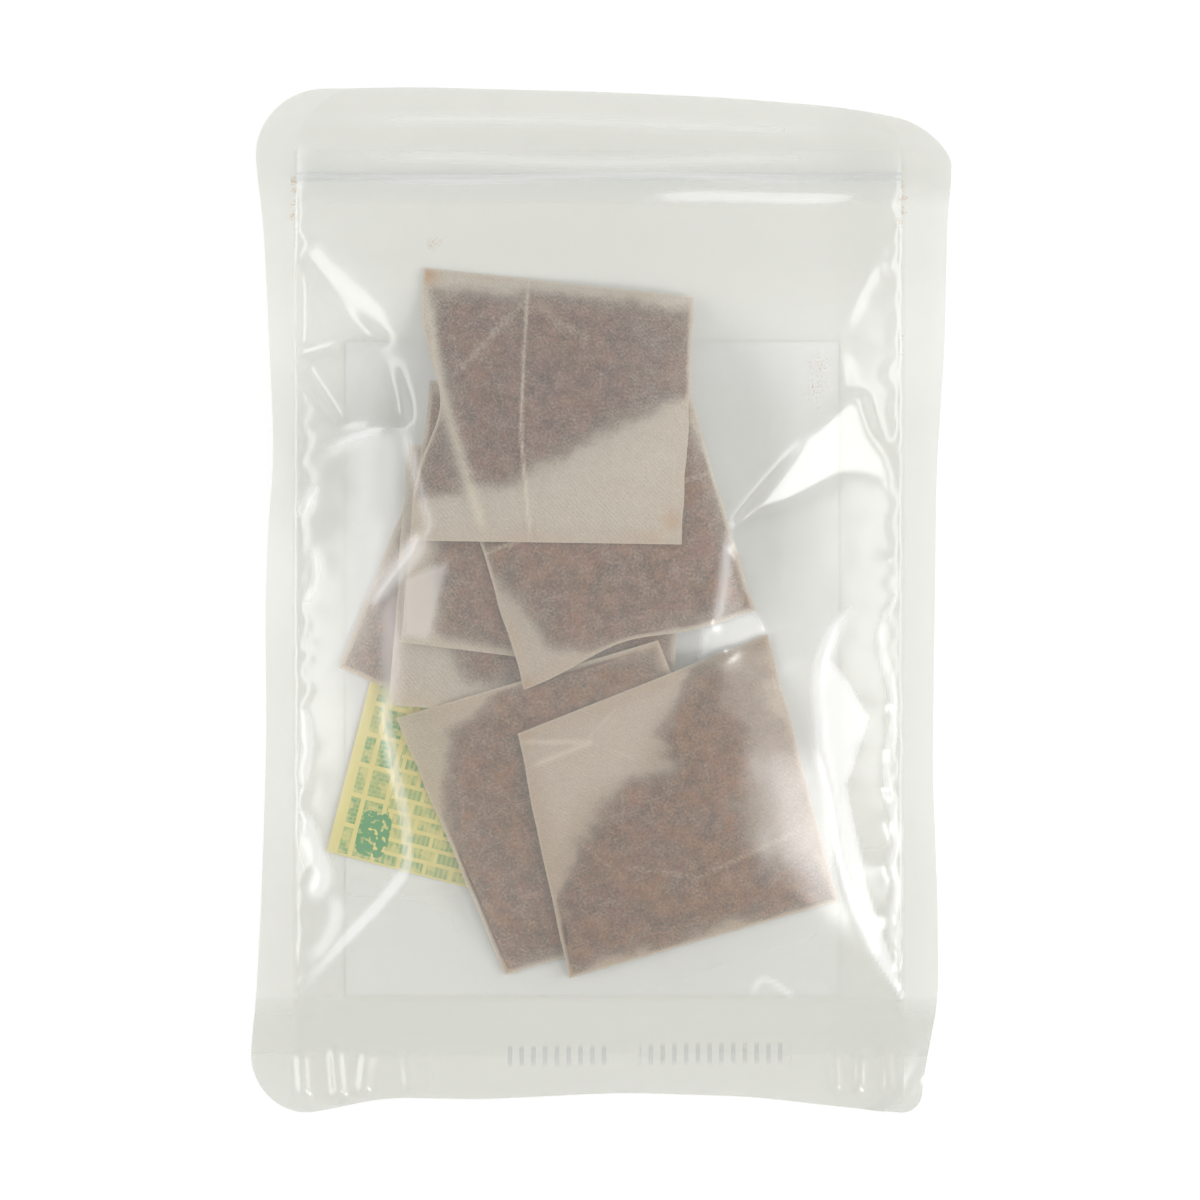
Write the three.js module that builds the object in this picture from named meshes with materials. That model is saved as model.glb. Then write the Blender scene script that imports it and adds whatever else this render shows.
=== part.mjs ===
// A clear press-close pouch of dashi bags, sealed all round and lying on its label with its back up.
// Between its two films lie the press-close strip, an oxygen absorber and seven square filter bags,
// each one strip of filter cloth folded round a heap of ground dashi.
// Millimetres. +X is to the right, +Y toward the closing strip, +Z up; the label lies on z = 0.

import * as THREE from "three";

// Pouch, as a flat sheet before it is filled
const POUCH_WIDTH = 170;
const POUCH_HEIGHT = 250;
const POUCH_CORNER = 14;
const FILM = 0.12;
const SIDE_SEAL = 9;
const TOP_SEAL = 8;
const BOTTOM_SEAL = 12;
const BOTTOM_SKIRT = 12;
const WELD_GAP = 0.05;

// Edges of the filled pouch: how far each is drawn in, and how far it curls up, at even stations along it.
// Sides are listed from bottom to top, the top and bottom edges from left to right.
const LEFT_DRAW = [0, 2.2, 3.8, 3.7, 5.5, 3.6, 0.6];
const RIGHT_DRAW = [6.5, 3.2, 4.6, 4.2, 3, 1.4, 0];
const TOP_DRAW = [0.6, 0, 1.2, 3.4, 9];
const BOTTOM_DRAW = [0, 4, 5.2, 4.2, 0];
const LEFT_CURL = [1, 2, 2.4, 1.8, 2.6, 1.8, 1];
const RIGHT_CURL = [5, 2, 2.2, 2.6, 2, 1.6, 1];
const TOP_CURL = [0.8, 0.5, 1.2, 2.4, 4];
const BOTTOM_CURL = [1, 3, 4, 3, 2];

// How far the filling draws the inner lines of the side seals in
const LEFT_SEAL_DRAW = 1.7;
const RIGHT_SEAL_DRAW = 2.8;

// How strongly the air left inside bows the back film between the things it rests on, per millimetre
const PUFF = 0.006;

// Gathers of the back film along its side seals
const GATHER_HEIGHT = 1;
const GATHER_REACH = 22;

// Label on the front film
const LABEL_WIDTH = 120;
const LABEL_HEIGHT = 159;
const LABEL_PAPER = 0.1;
const LABEL_LEFT_OF_CENTRE = 2;
const LABEL_BELOW_CENTRE = 16.5;
const GLUE_GAP = 0.05;

// Press-close strip: a rib on the back film snaps into a groove on the front film
const ZIP_WIDTH = 13;
const ZIP_FROM_TOP = 15.5;
const ZIP_TAPE = 0.2;
const ZIP_CLEARANCE = 0.2;
const RIB_STEM = 0.6;
const RIB_HEAD = 1.9;
const RIB_HEAD_DEPTH = 0.5;
const JAW_WALL = 0.45;
const JAW_LIP = 0.3;

// Oxygen absorber
const ABSORBER_WIDTH = 45;
const ABSORBER_HEIGHT = 50;
const ABSORBER_BELLY = 2.6;
const ABSORBER_EDGE = 0.3;
const ABSORBER_PLACE = { x: -38.7, y: -42.5, turn: -14.5 };

// Filter bags
const BAG_SIDE = 66;
const BAG_EDGE_SEAL = 5;
const CLOTH = 0.15;
const SEAM_LAP = 5;
const SEAM_OFF_CENTRE = 5;
const POWDER_DEPTH = 3;
const POWDER_RIM = 0.4;
const POWDER_GAP = 0.1;
const LEAF_GAP = 0.1;

// Clearances between things that lie on each other, and the room kept free beside a seal
const LAY_GAP = 0.3;
const SEAL_ROOM = 5;

// Bags from the lowest to the highest: where the middle lies and which way the powder has slid inside it, both
// in bag sides, how it is turned, and whether its lap seam faces up
const BAGS = [
  { x: -0.32, y: 0.024, turn: -22, slide: [-0.06, -0.06], seamUp: false },
  { x: -0.244, y: 0.079, turn: -4, slide: [0.06, 0.09], seamUp: false },
  { x: -0.191, y: 0.292, turn: -5, slide: [0.09, 0.06], seamUp: true },
  { x: -0.071, y: -0.762, turn: 19, slide: [0.106, -0.045], seamUp: false },
  { x: -0.008, y: 0.292, turn: 108, slide: [0.06, -0.12], seamUp: true },
  { x: 0.265, y: -0.777, turn: 16, slide: [0.045, -0.106], seamUp: false },
  { x: -0.18, y: 0.691, turn: -3, slide: [-0.03, 0.136], seamUp: true },
];

// Fineness of the meshes
const FILM_COLUMNS = 14;
const FILM_ROW = 8;
const CORNER_STEPS = 4;
const PILE_STEP = 1;

const lerp = THREE.MathUtils.lerp;
const clamp = THREE.MathUtils.clamp;

const halfWidth = POUCH_WIDTH / 2;
const halfHeight = POUCH_HEIGHT / 2;
const sealX = halfWidth - SIDE_SEAL;
const roomX = sealX - SEAL_ROOM;
const skirtY = -halfHeight + BOTTOM_SKIRT;
const bottomSealY = skirtY + BOTTOM_SEAL;
const topSealY = halfHeight - TOP_SEAL;
const zipTopY = halfHeight - ZIP_FROM_TOP;
const zipBottomY = zipTopY - ZIP_WIDTH;
const filmZ = LABEL_PAPER + GLUE_GAP;
const insideZ = filmZ + FILM;

// A smooth value along an edge, through evenly spaced stations
function station(values, share) {
  const points = values.map((value, k) => new THREE.Vector2(k, value));
  return new THREE.SplineCurve(points).getPoint(clamp(share, 0, 1)).y;
}

// Where a point of the flat pouch comes to lie once its edges are drawn in
function laid(x, y) {
  const alongSide = (y + halfHeight) / POUCH_HEIGHT;
  const alongEnd = (x + halfWidth) / POUCH_WIDTH;
  const pastCorner = Math.max(0, Math.abs(y) - (halfHeight - POUCH_CORNER));
  const narrowed = POUCH_CORNER - Math.sqrt(Math.max(0, POUCH_CORNER ** 2 - pastCorner ** 2));
  const draw = x < 0 ? station(LEFT_DRAW, alongSide) : station(RIGHT_DRAW, alongSide);
  const seal = x < 0 ? LEFT_SEAL_DRAW : RIGHT_SEAL_DRAW;
  const inner = (clamp(x, -sealX, sealX) / sealX) * (sealX - seal);
  const outer = (Math.max(0, Math.abs(x) - sealX) / SIDE_SEAL) * (SIDE_SEAL + seal - draw);
  const header = lerp(zipTopY, zipBottomY, clamp((Math.abs(x) - roomX) / (halfWidth - roomX), 0, 1));
  const headed = clamp((y - header) / (halfHeight - header), 0, 1);
  const skirt = clamp((skirtY - y) / BOTTOM_SKIRT, 0, 1);
  return {
    x: (inner + Math.sign(x) * outer) * (1 - narrowed / (halfWidth - draw)),
    y: y - headed * station(TOP_DRAW, alongEnd) + skirt * station(BOTTOM_DRAW, alongEnd),
  };
}

// How high the welded rim of the pouch curls above the table
function curl(x, y) {
  const alongSide = (y + halfHeight) / POUCH_HEIGHT;
  const alongEnd = (x + halfWidth) / POUCH_WIDTH;
  const side = clamp((Math.abs(x) - sealX) / SIDE_SEAL, 0, 1);
  const top = clamp((y - topSealY) / TOP_SEAL, 0, 1);
  const bottom = clamp((skirtY - y) / BOTTOM_SKIRT, 0, 1);
  return (
    side * station(x < 0 ? LEFT_CURL : RIGHT_CURL, alongSide) +
    top * station(TOP_CURL, alongEnd) +
    bottom * station(BOTTOM_CURL, alongEnd)
  );
}

// A closed solid over a grid: two skins with the same diagonals and a rim. place(i, j, outer) gives a corner;
// turned(i) swaps the diagonal of a column.
function gridSolid(columns, rows, place, turned = () => false) {
  const positions = [];
  const faces = [];
  for (const outer of [true, false]) {
    for (let j = 0; j <= rows; j++) {
      for (let i = 0; i <= columns; i++) positions.push(...place(i, j, outer));
    }
  }
  const skin = (columns + 1) * (rows + 1);
  const at = (i, j, outer) => (outer ? 0 : skin) + j * (columns + 1) + i;
  const quad = (a, b, c, d) => faces.push(a, b, c, a, c, d);
  for (let j = 0; j < rows; j++) {
    for (let i = 0; i < columns; i++) {
      for (const outer of [true, false]) {
        const a = at(i, j, outer);
        const b = at(i + 1, j, outer);
        const c = at(i + 1, j + 1, outer);
        const d = at(i, j + 1, outer);
        const ring = turned(i) ? [b, c, d, a] : [a, b, c, d];
        if (outer) quad(...ring);
        else quad(ring[0], ring[3], ring[2], ring[1]);
      }
    }
  }
  for (let i = 0; i < columns; i++) {
    quad(at(i, 0, false), at(i + 1, 0, false), at(i + 1, 0, true), at(i, 0, true));
    quad(at(i + 1, rows, false), at(i, rows, false), at(i, rows, true), at(i + 1, rows, true));
  }
  for (let j = 0; j < rows; j++) {
    quad(at(0, j + 1, false), at(0, j, false), at(0, j, true), at(0, j + 1, true));
    quad(at(columns, j, false), at(columns, j + 1, false), at(columns, j + 1, true), at(columns, j, true));
  }
  const geometry = new THREE.BufferGeometry();
  geometry.setAttribute("position", new THREE.Float32BufferAttribute(positions, 3));
  geometry.setIndex(volume(positions, faces) < 0 ? faces.toReversed() : faces);
  geometry.computeVertexNormals();
  return geometry;
}

// Signed volume of a closed mesh
function volume(positions, faces) {
  const corner = (k) => new THREE.Vector3().fromArray(positions, 3 * faces[k]);
  let total = 0;
  for (let k = 0; k < faces.length; k += 3) {
    total += corner(k).dot(corner(k + 1).cross(corner(k + 2))) / 6;
  }
  return total;
}

// Heights of everything laid in the pouch so far, on a fine square grid
const pileColumns = Math.ceil(POUCH_WIDTH / PILE_STEP) + 1;
const pileRows = Math.ceil(POUCH_HEIGHT / PILE_STEP) + 1;
const pile = new Float64Array(pileColumns * pileRows).fill(insideZ);

function pileColumn(x) {
  return clamp((x + halfWidth) / PILE_STEP, 0, pileColumns - 1);
}

function pileRow(y) {
  return clamp((y + halfHeight) / PILE_STEP, 0, pileRows - 1);
}

// Highest of the pile's corners round a point
function pileAt(x, y) {
  const i = pileColumn(x);
  const j = pileRow(y);
  let top = 0;
  for (const column of [Math.floor(i), Math.ceil(i)]) {
    for (const row of [Math.floor(j), Math.ceil(j)]) top = Math.max(top, pile[row * pileColumns + column]);
  }
  return top;
}

// Raises the pile wherever height(x, y) gives a number
function raisePile(height) {
  for (let row = 0; row < pileRows; row++) {
    for (let column = 0; column < pileColumns; column++) {
      const z = height(column * PILE_STEP - halfWidth, row * PILE_STEP - halfHeight);
      const k = row * pileColumns + column;
      if (z !== null) pile[k] = Math.max(pile[k], z);
    }
  }
}

// Keeps a turned rectangle inside the room between the seals
function keptInside(place, width, height) {
  const angle = THREE.MathUtils.degToRad(place.turn);
  const cos = Math.cos(angle);
  const sin = Math.sin(angle);
  const reachX = (Math.abs(cos) * width + Math.abs(sin) * height) / 2;
  const reachY = (Math.abs(sin) * width + Math.abs(cos) * height) / 2;
  const spareX = Math.max(0, roomX - Math.max(LEFT_SEAL_DRAW, RIGHT_SEAL_DRAW) - reachX);
  const x = clamp(place.x, -spareX, spareX);
  const lowest = bottomSealY + SEAL_ROOM + reachY;
  const y = clamp(place.y, lowest, Math.max(lowest, zipBottomY - SEAL_ROOM - reachY));
  return {
    toPouch: (u, v) => [x + u * cos - v * sin, y + u * sin + v * cos],
    toLocal: (px, py) => [(px - x) * cos + (py - y) * sin, (py - y) * cos - (px - x) * sin],
  };
}

// Lays a flat grid of lines on the pile. It rests on the highest thing under the cells round each corner,
// and eases over the hollows in between. Returns its underside, row by row.
function settle(frame, us, vs) {
  const under = vs.map((v, j) =>
    us.map((u, i) => {
      let top = 0;
      const [u0, u1] = [us[Math.max(0, i - 1)], us[Math.min(us.length - 1, i + 1)]];
      const [v0, v1] = [vs[Math.max(0, j - 1)], vs[Math.min(vs.length - 1, j + 1)]];
      const across = Math.ceil((u1 - u0) / PILE_STEP);
      const along = Math.ceil((v1 - v0) / PILE_STEP);
      for (let a = 0; a <= across; a++) {
        for (let b = 0; b <= along; b++) {
          top = Math.max(top, pileAt(...frame.toPouch(lerp(u0, u1, a / across), lerp(v0, v1, b / along))));
        }
      }
      return top + LAY_GAP;
    })
  );
  for (let pass = 0; pass < 4; pass++) {
    for (let j = 1; j < vs.length - 1; j++) {
      for (let i = 1; i < us.length - 1; i++) {
        const round = under[j][i - 1] + under[j][i + 1] + under[j - 1][i] + under[j + 1][i];
        under[j][i] = Math.max(under[j][i], round / 4);
      }
    }
  }
  return under;
}

// Adds a laid grid's upper side to the pile
function stack(frame, us, vs, upper) {
  raisePile((x, y) => {
    const [u, v] = frame.toLocal(x, y);
    const i = us.findIndex((line) => line > u) - 1;
    const j = vs.findIndex((line) => line > v) - 1;
    if (i < 0 || j < 0) return null;
    const p = (u - us[i]) / (us[i + 1] - us[i]);
    const q = (v - vs[j]) / (vs[j + 1] - vs[j]);
    const [a, b, c, d] = [upper[j][i], upper[j][i + 1], upper[j + 1][i + 1], upper[j + 1][i]];
    return p > q ? a + p * (b - a) + q * (c - b) : a + q * (d - a) + p * (c - d);
  });
}

// Evenly spaced lines from one value to another
function lines(from, to, steps) {
  const count = Math.max(1, Math.round(steps));
  return Array.from({ length: count + 1 }, (_, k) => lerp(from, to, k / count));
}

const pack = new THREE.Group();
pack.name = "dashi_bag_pouch";

function add(name, geometry, colour, roughness, extra = {}) {
  const material = new THREE.MeshStandardMaterial({ color: colour, roughness, metalness: 0, ...extra });
  const mesh = new THREE.Mesh(geometry, material);
  mesh.name = name;
  pack.add(mesh);
}

const filmLook = { transparent: true, opacity: 0.4 };

// Label, glued under the front film
const labelShape = new THREE.Shape();
const labelX = -LABEL_LEFT_OF_CENTRE - LABEL_WIDTH / 2;
const labelY = -LABEL_BELOW_CENTRE - LABEL_HEIGHT / 2;
labelShape.moveTo(labelX, labelY);
labelShape.lineTo(labelX + LABEL_WIDTH, labelY);
labelShape.lineTo(labelX + LABEL_WIDTH, labelY + LABEL_HEIGHT);
labelShape.lineTo(labelX, labelY + LABEL_HEIGHT);
add("label", new THREE.ExtrudeGeometry(labelShape, { depth: LABEL_PAPER, bevelEnabled: false }), 0xf3f3f1, 0.7);

// Oxygen absorber: a flat sealed packet with a soft belly, lying on the front film
{
  const frame = keptInside(ABSORBER_PLACE, ABSORBER_WIDTH, ABSORBER_HEIGHT);
  const us = lines(-ABSORBER_WIDTH / 2, ABSORBER_WIDTH / 2, 6);
  const vs = lines(-ABSORBER_HEIGHT / 2, ABSORBER_HEIGHT / 2, 6);
  const under = settle(frame, us, vs);
  const upper = vs.map((v, j) =>
    us.map((u, i) => {
      const belly = (1 - (2 * u / ABSORBER_WIDTH) ** 4) * (1 - (2 * v / ABSORBER_HEIGHT) ** 4);
      return under[j][i] + ABSORBER_EDGE + ABSORBER_BELLY * belly;
    })
  );
  stack(frame, us, vs, upper);
  const place = (i, j, outer) => [...frame.toPouch(us[i], vs[j]), (outer ? upper : under)[j][i]];
  add("absorber", gridSolid(6, 6, place), 0xe6dba4, 0.4);
}

// Filter bags with their powder
BAGS.forEach((bag, k) => {
  const half = BAG_SIDE / 2;
  const heapEdge = half - BAG_EDGE_SEAL;
  const lapLeft = -SEAM_OFF_CENTRE - SEAM_LAP / 2;
  const lapRight = lapLeft + SEAM_LAP;
  const us = [-half, ...lines(-heapEdge, lapLeft, 2), ...lines(lapRight, heapEdge, 3), half];
  const vs = [-half, ...lines(-heapEdge, heapEdge, 5), half];
  const lastU = us.length - 1;
  const lastV = vs.length - 1;
  const lapFrom = 3;
  const lapTo = 4;
  const lapRise = CLOTH + LEAF_GAP;

  // Depth of the powder: deepest where it has slid to, thin at the rim of the heap
  const [slideU, slideV] = bag.slide.map((share) => share * BAG_SIDE);
  const heap = (i, j) => {
    const across = (us[i] - slideU) / (heapEdge + Math.abs(slideU));
    const along = (vs[j] - slideV) / (heapEdge + Math.abs(slideV));
    const dome = Math.max(0, (1 - across ** 2) * (1 - along ** 2)) ** 0.6;
    return POWDER_RIM + (POWDER_DEPTH - POWDER_RIM) * dome;
  };
  const holdsPowder = (i, j) => i > 0 && j > 0 && i < lastU && j < lastV;

  const middle = { x: bag.x * BAG_SIDE, y: bag.y * BAG_SIDE, turn: bag.turn };
  const frame = keptInside(middle, BAG_SIDE, BAG_SIDE);
  const lower = settle(frame, us, vs).map((row) => row.map((z) => z + (bag.seamUp ? 0 : lapRise)));
  const room = (i, j) => (holdsPowder(i, j) ? heap(i, j) + 2 * POWDER_GAP : LEAF_GAP);
  const upper = lower.map((row, j) => row.map((z, i) => z + 2 * CLOTH + room(i, j)));
  stack(frame, us, vs, upper.map((row) => row.map((z) => z + (bag.seamUp ? lapRise : 0))));

  // The cloth runs from the outer end of the lap to the right edge, back under the powder to the left edge
  // and on to the inner end of the lap
  const strip = [];
  for (let i = lapFrom; i < lastU; i++) strip.push({ i, lapped: true, raised: i <= lapTo });
  strip.push({ i: lastU, fold: 1 });
  for (let i = lastU - 1; i > 0; i--) strip.push({ i, lapped: false });
  strip.push({ i: 0, fold: -1 });
  for (let i = 1; i <= lapTo; i++) strip.push({ i, lapped: true });
  const cloth = (s, j, outer) => {
    const { i, fold, lapped, raised } = strip[s];
    if (fold) {
      const u = us[i] - (outer ? 0 : fold * 2 * CLOTH);
      return [...frame.toPouch(u, vs[j]), (lower[j][i] + upper[j][i]) / 2];
    }
    const onTop = lapped === bag.seamUp;
    const skin = onTop ? upper[j][i] : lower[j][i];
    const outward = (raised ? lapRise : 0) - (outer ? 0 : CLOTH);
    return [...frame.toPouch(us[i], vs[j]), skin + (onTop ? outward : -outward)];
  };
  const runsBack = (s) => us[strip[s].i] > us[strip[s + 1].i];
  add(`sachet_${k + 1}_bag`, gridSolid(strip.length - 1, lastV, cloth, runsBack), 0xdcd3c2, 0.85, filmLook);

  const powder = (i, j, outer) => {
    const bottom = lower[j + 1][i + 1] + CLOTH + POWDER_GAP;
    return [...frame.toPouch(us[i + 1], vs[j + 1]), bottom + (outer ? heap(i + 1, j + 1) : 0)];
  };
  add(`sachet_${k + 1}_powder`, gridSolid(lastU - 2, lastV - 2, powder), 0x6b4c36, 0.95);
});

// Press-close strip
const jawInside = RIB_HEAD / 2 + ZIP_CLEARANCE;
const jawOutside = jawInside + JAW_WALL;
const lipInside = RIB_STEM / 2 + ZIP_CLEARANCE;
const headFoot = ZIP_TAPE + ZIP_CLEARANCE;
const headTop = headFoot + RIB_HEAD_DEPTH;
const lipFoot = headTop + ZIP_CLEARANCE;
const lipTop = lipFoot + JAW_LIP;
const ribTape = lipTop + ZIP_CLEARANCE;
const zipHeight = ribTape + ZIP_TAPE;
const zipZ = insideZ + WELD_GAP;
const zipMiddleY = (zipTopY + zipBottomY) / 2;
const zipLeft = laid(-roomX, zipMiddleY).x + LAY_GAP;
const zipRight = laid(roomX, zipMiddleY).x - LAY_GAP;

// A profile given by its half, mirrored across the middle of the strip and run along the zip
function zipStrip(half) {
  const mirrored = half.map(([y, z]) => [-y, z]).reverse();
  const outline = [...half, ...mirrored].map(([y, z]) => new THREE.Vector2(y, z));
  const strip = new THREE.ExtrudeGeometry(new THREE.Shape(outline), {
    depth: zipRight - zipLeft,
    bevelEnabled: false,
  });
  const turn = new THREE.Matrix4().makeBasis(
    new THREE.Vector3(0, 1, 0),
    new THREE.Vector3(0, 0, 1),
    new THREE.Vector3(1, 0, 0)
  );
  return strip.applyMatrix4(turn).translate(zipLeft, zipMiddleY, zipZ);
}

const groove = zipStrip([
  [ZIP_WIDTH / 2, 0],
  [ZIP_WIDTH / 2, ZIP_TAPE],
  [jawOutside, ZIP_TAPE],
  [jawOutside, lipTop],
  [lipInside, lipTop],
  [lipInside, lipFoot],
  [jawInside, lipFoot],
  [jawInside, ZIP_TAPE],
]);
const rib = zipStrip([
  [RIB_STEM / 2, headFoot],
  [RIB_HEAD / 2, headTop],
  [RIB_STEM / 2, headTop],
  [RIB_STEM / 2, ribTape],
  [ZIP_WIDTH / 2, ribTape],
  [ZIP_WIDTH / 2, zipHeight],
]);
add("zip_groove", groove, 0xdfe4e8, 0.35);
add("zip_rib", rib, 0xdfe4e8, 0.35);
raisePile((x, y) =>
  x >= zipLeft && x <= zipRight && y >= zipBottomY && y <= zipTopY ? zipZ + zipHeight : null
);

// Lines of the films: columns at the seals with even ones between, rows at the seals, strip and corners
const columnLines = [-halfWidth, -sealX, ...lines(-roomX, roomX, FILM_COLUMNS), sealX, halfWidth];
const cornerLines = lines(0, Math.PI / 2, CORNER_STEPS).map((a) => POUCH_CORNER * (1 - Math.cos(a)));
const featureLines = [
  -halfHeight,
  skirtY,
  bottomSealY,
  bottomSealY + SEAL_ROOM,
  zipBottomY,
  zipTopY,
  topSealY,
  halfHeight,
];
const evenLines = lines(
  bottomSealY + SEAL_ROOM,
  zipBottomY,
  Math.ceil((zipBottomY - bottomSealY - SEAL_ROOM) / FILM_ROW)
);
const spareLines = [
  ...evenLines,
  ...cornerLines.map((d) => d - halfHeight),
  ...cornerLines.map((d) => halfHeight - d),
];
const rowLines = featureLines.slice();
for (const line of spareLines) {
  if (rowLines.every((kept) => Math.abs(kept - line) > 0.7)) rowLines.push(line);
}
rowLines.sort((a, b) => a - b);

const lastColumn = columnLines.length - 1;
const lastRow = rowLines.length - 1;
const spots = rowLines.map((y) => columnLines.map((x) => laid(x, y)));
const welded = (i, j) => Math.abs(columnLines[i]) >= sealX || rowLines[j] <= bottomSealY || rowLines[j] >= topSealY;
const rim = rowLines.map((y) => columnLines.map((x) => filmZ + curl(x, y)));

// The back film: welded to the front film round its rim, and drawn over what lies inside, with some air under it
const floor = rowLines.map((_, j) =>
  columnLines.map((_, i) => {
    if (welded(i, j)) return rim[j][i] + FILM + WELD_GAP;
    const near = [];
    for (const row of [j - 1, j, j + 1]) for (const column of [i - 1, i, i + 1]) near.push(spots[row][column]);
    const xs = near.map((spot) => spot.x);
    const ys = near.map((spot) => spot.y);
    let top = 0;
    for (let x = Math.min(...xs); x <= Math.max(...xs) + PILE_STEP; x += PILE_STEP) {
      for (let y = Math.min(...ys); y <= Math.max(...ys) + PILE_STEP; y += PILE_STEP) {
        top = Math.max(top, pileAt(x, y));
      }
    }
    return Math.max(top + LAY_GAP, rim[j][i] + FILM + WELD_GAP);
  })
);
const pulls = (before, here, after) => {
  const first = 2 / ((here - before) * (after - before));
  const second = 2 / ((after - here) * (after - before));
  return [first + second, first, second];
};
const taut = floor.map((row) => row.slice());
for (let pass = 0; pass < 120; pass++) {
  for (let j = 1; j < lastRow; j++) {
    for (let i = 1; i < lastColumn; i++) {
      if (welded(i, j)) continue;
      const [across, left, right] = pulls(columnLines[i - 1], columnLines[i], columnLines[i + 1]);
      const [along, below, above] = pulls(rowLines[j - 1], rowLines[j], rowLines[j + 1]);
      const sides = left * taut[j][i - 1] + right * taut[j][i + 1];
      const ends = below * taut[j - 1][i] + above * taut[j + 1][i];
      taut[j][i] = Math.max(floor[j][i], (sides + ends + PUFF) / (across + along));
    }
  }
}

// Gathers rise on every other row beside the side seals and die away toward the middle
const gather = (i, j) => {
  if (welded(i, j) || rowLines[j] >= zipBottomY) return 0;
  const inward = sealX - Math.abs(columnLines[i]);
  return j % 2 ? 0 : GATHER_HEIGHT * Math.max(0, 1 - inward / GATHER_REACH);
};

const sheet = (height) => (i, j, outer) => [
  spots[j][i].x,
  spots[j][i].y,
  height(i, j) + (outer ? FILM : 0),
];
const backFilm = gridSolid(lastColumn, lastRow, sheet((i, j) => taut[j][i] + gather(i, j)));
const frontFilm = gridSolid(lastColumn, lastRow, sheet((i, j) => rim[j][i]));
add("back_film", backFilm, 0xe8ebe6, 0.2, filmLook);
add("front_film", frontFilm, 0xe8ebe6, 0.2, filmLook);

// The origin lies under the middle of the pouch
const box = new THREE.Box3().setFromObject(pack);
pack.position.set(-(box.min.x + box.max.x) / 2, -(box.min.y + box.max.y) / 2, -box.min.z);

export default pack;
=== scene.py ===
"""A clear press-close pouch of dashi bags, lying on its label with its back up."""

import math

import bpy
import numpy as np
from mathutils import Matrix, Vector
from mathutils.bvhtree import BVHTree


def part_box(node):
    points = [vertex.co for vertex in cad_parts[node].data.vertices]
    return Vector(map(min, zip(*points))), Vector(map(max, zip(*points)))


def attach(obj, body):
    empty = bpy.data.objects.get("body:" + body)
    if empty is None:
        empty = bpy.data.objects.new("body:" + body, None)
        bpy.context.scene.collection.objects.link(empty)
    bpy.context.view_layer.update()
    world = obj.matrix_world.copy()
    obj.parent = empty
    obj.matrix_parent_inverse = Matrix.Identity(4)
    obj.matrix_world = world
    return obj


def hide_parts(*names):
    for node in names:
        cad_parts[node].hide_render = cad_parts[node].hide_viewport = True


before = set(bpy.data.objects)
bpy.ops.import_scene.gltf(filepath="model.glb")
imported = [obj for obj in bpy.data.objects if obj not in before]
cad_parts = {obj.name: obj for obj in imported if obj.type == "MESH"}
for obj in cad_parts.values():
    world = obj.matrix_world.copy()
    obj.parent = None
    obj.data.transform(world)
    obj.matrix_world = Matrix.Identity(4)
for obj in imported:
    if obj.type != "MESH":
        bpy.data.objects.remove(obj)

bl_info = {
    "name": "Dashi bag pouch",
    "version": (1, 0, 0),
    "blender": (4, 5, 0),
    "location": "3D View > Sidebar > Dashi bag",
    "description": "Builds the films, filter bags, strip, label and absorber of a clear pouch of dashi bags",
    "category": "Object",
}

# Places are millimetres on the table. Rows of pixels are read off the photo and placed with at()
MM = 0.001
PIXEL = 0.2426
MIDDLE_ACROSS, MIDDLE_DOWN = 601, 600.5


def at(across, down):
    """The place on the table, in millimetres, of a pixel of the photo."""
    return ((across - MIDDLE_ACROSS) * PIXEL, (MIDDLE_DOWN - down) * PIXEL)


def places(pixels):
    """Places on the table of a row of pixels."""
    return np.array([at(*pixel) for pixel in pixels])


# Outline of the pouch as it lies
LEFT_EDGE = places([
    (254, 86), (255, 164), (262, 212), (266, 280), (269, 350), (273, 430), (273, 465), (267, 536),
    (265, 600), (266, 740), (261, 900), (255, 1010), (250, 1046), (250, 1115),
])
RIGHT_EDGE = places([
    (952, 86), (952, 174), (948, 215), (945, 349), (937, 470), (935, 620), (933, 770), (938, 900),
    (939, 1000), (931, 1040), (925, 1068), (922, 1090), (921, 1115),
])
TOP_EDGE = places([
    (250, 88), (324, 88), (412, 86), (600, 91), (725, 97), (834, 106), (870, 111), (905, 118),
    (930, 126), (952, 134),
])
BOTTOM_EDGE = places([
    (250, 1115), (305, 1115), (340, 1108), (383, 1098), (482, 1100), (600, 1094), (628, 1093), (750, 1097),
    (837, 1107), (905, 1114), (952, 1115),
])
CORNERS = {"top_left": 17.0, "top_right": 13.0, "bottom_left": 15.0, "bottom_right": 5.0}
HALF_WIDTH, HALF_HEIGHT = 85.15, 124.8
SEAL_LEFT, SEAL_RIGHT = -74.3, 73.2
SEAL_SHARE = 0.894
TOP_SEAL_Y, ZIP_TOP_Y, ZIP_BOTTOM_Y = 116.5, 109.3, 96.3
BOTTOM_SEAL_Y, SKIRT_Y = -97.0, -110.0
ZIP_CREST = 1.2
RIM_CURL = 0.7
FILM, WELD = 0.06, 0.14
FILM_ON_PILE = 0.25
RIB_STEP, RIB_HEIGHT = 1.6, 0.05

# Gathers and folds along the side seals: where they start and end, and the ranges of their chance sizes
GATHER_START, GATHER_END = -93.0, 92.0
GATHER_REACH, GATHER_SLANT, GATHER_STRENGTH, GATHER_STEP = (7, 17), (-3.5, 3.5), (0.5, 1.0), (6.5, 13)
SEAL_FOLD_START, SEAL_FOLD_END = -95.0, 94.0
SEAL_FOLD_HALF, SEAL_FOLD_BULGE, SEAL_FOLD_HEIGHT = (2.6, 5.5), (0.8, 3.0), (0.5, 0.85)

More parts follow.
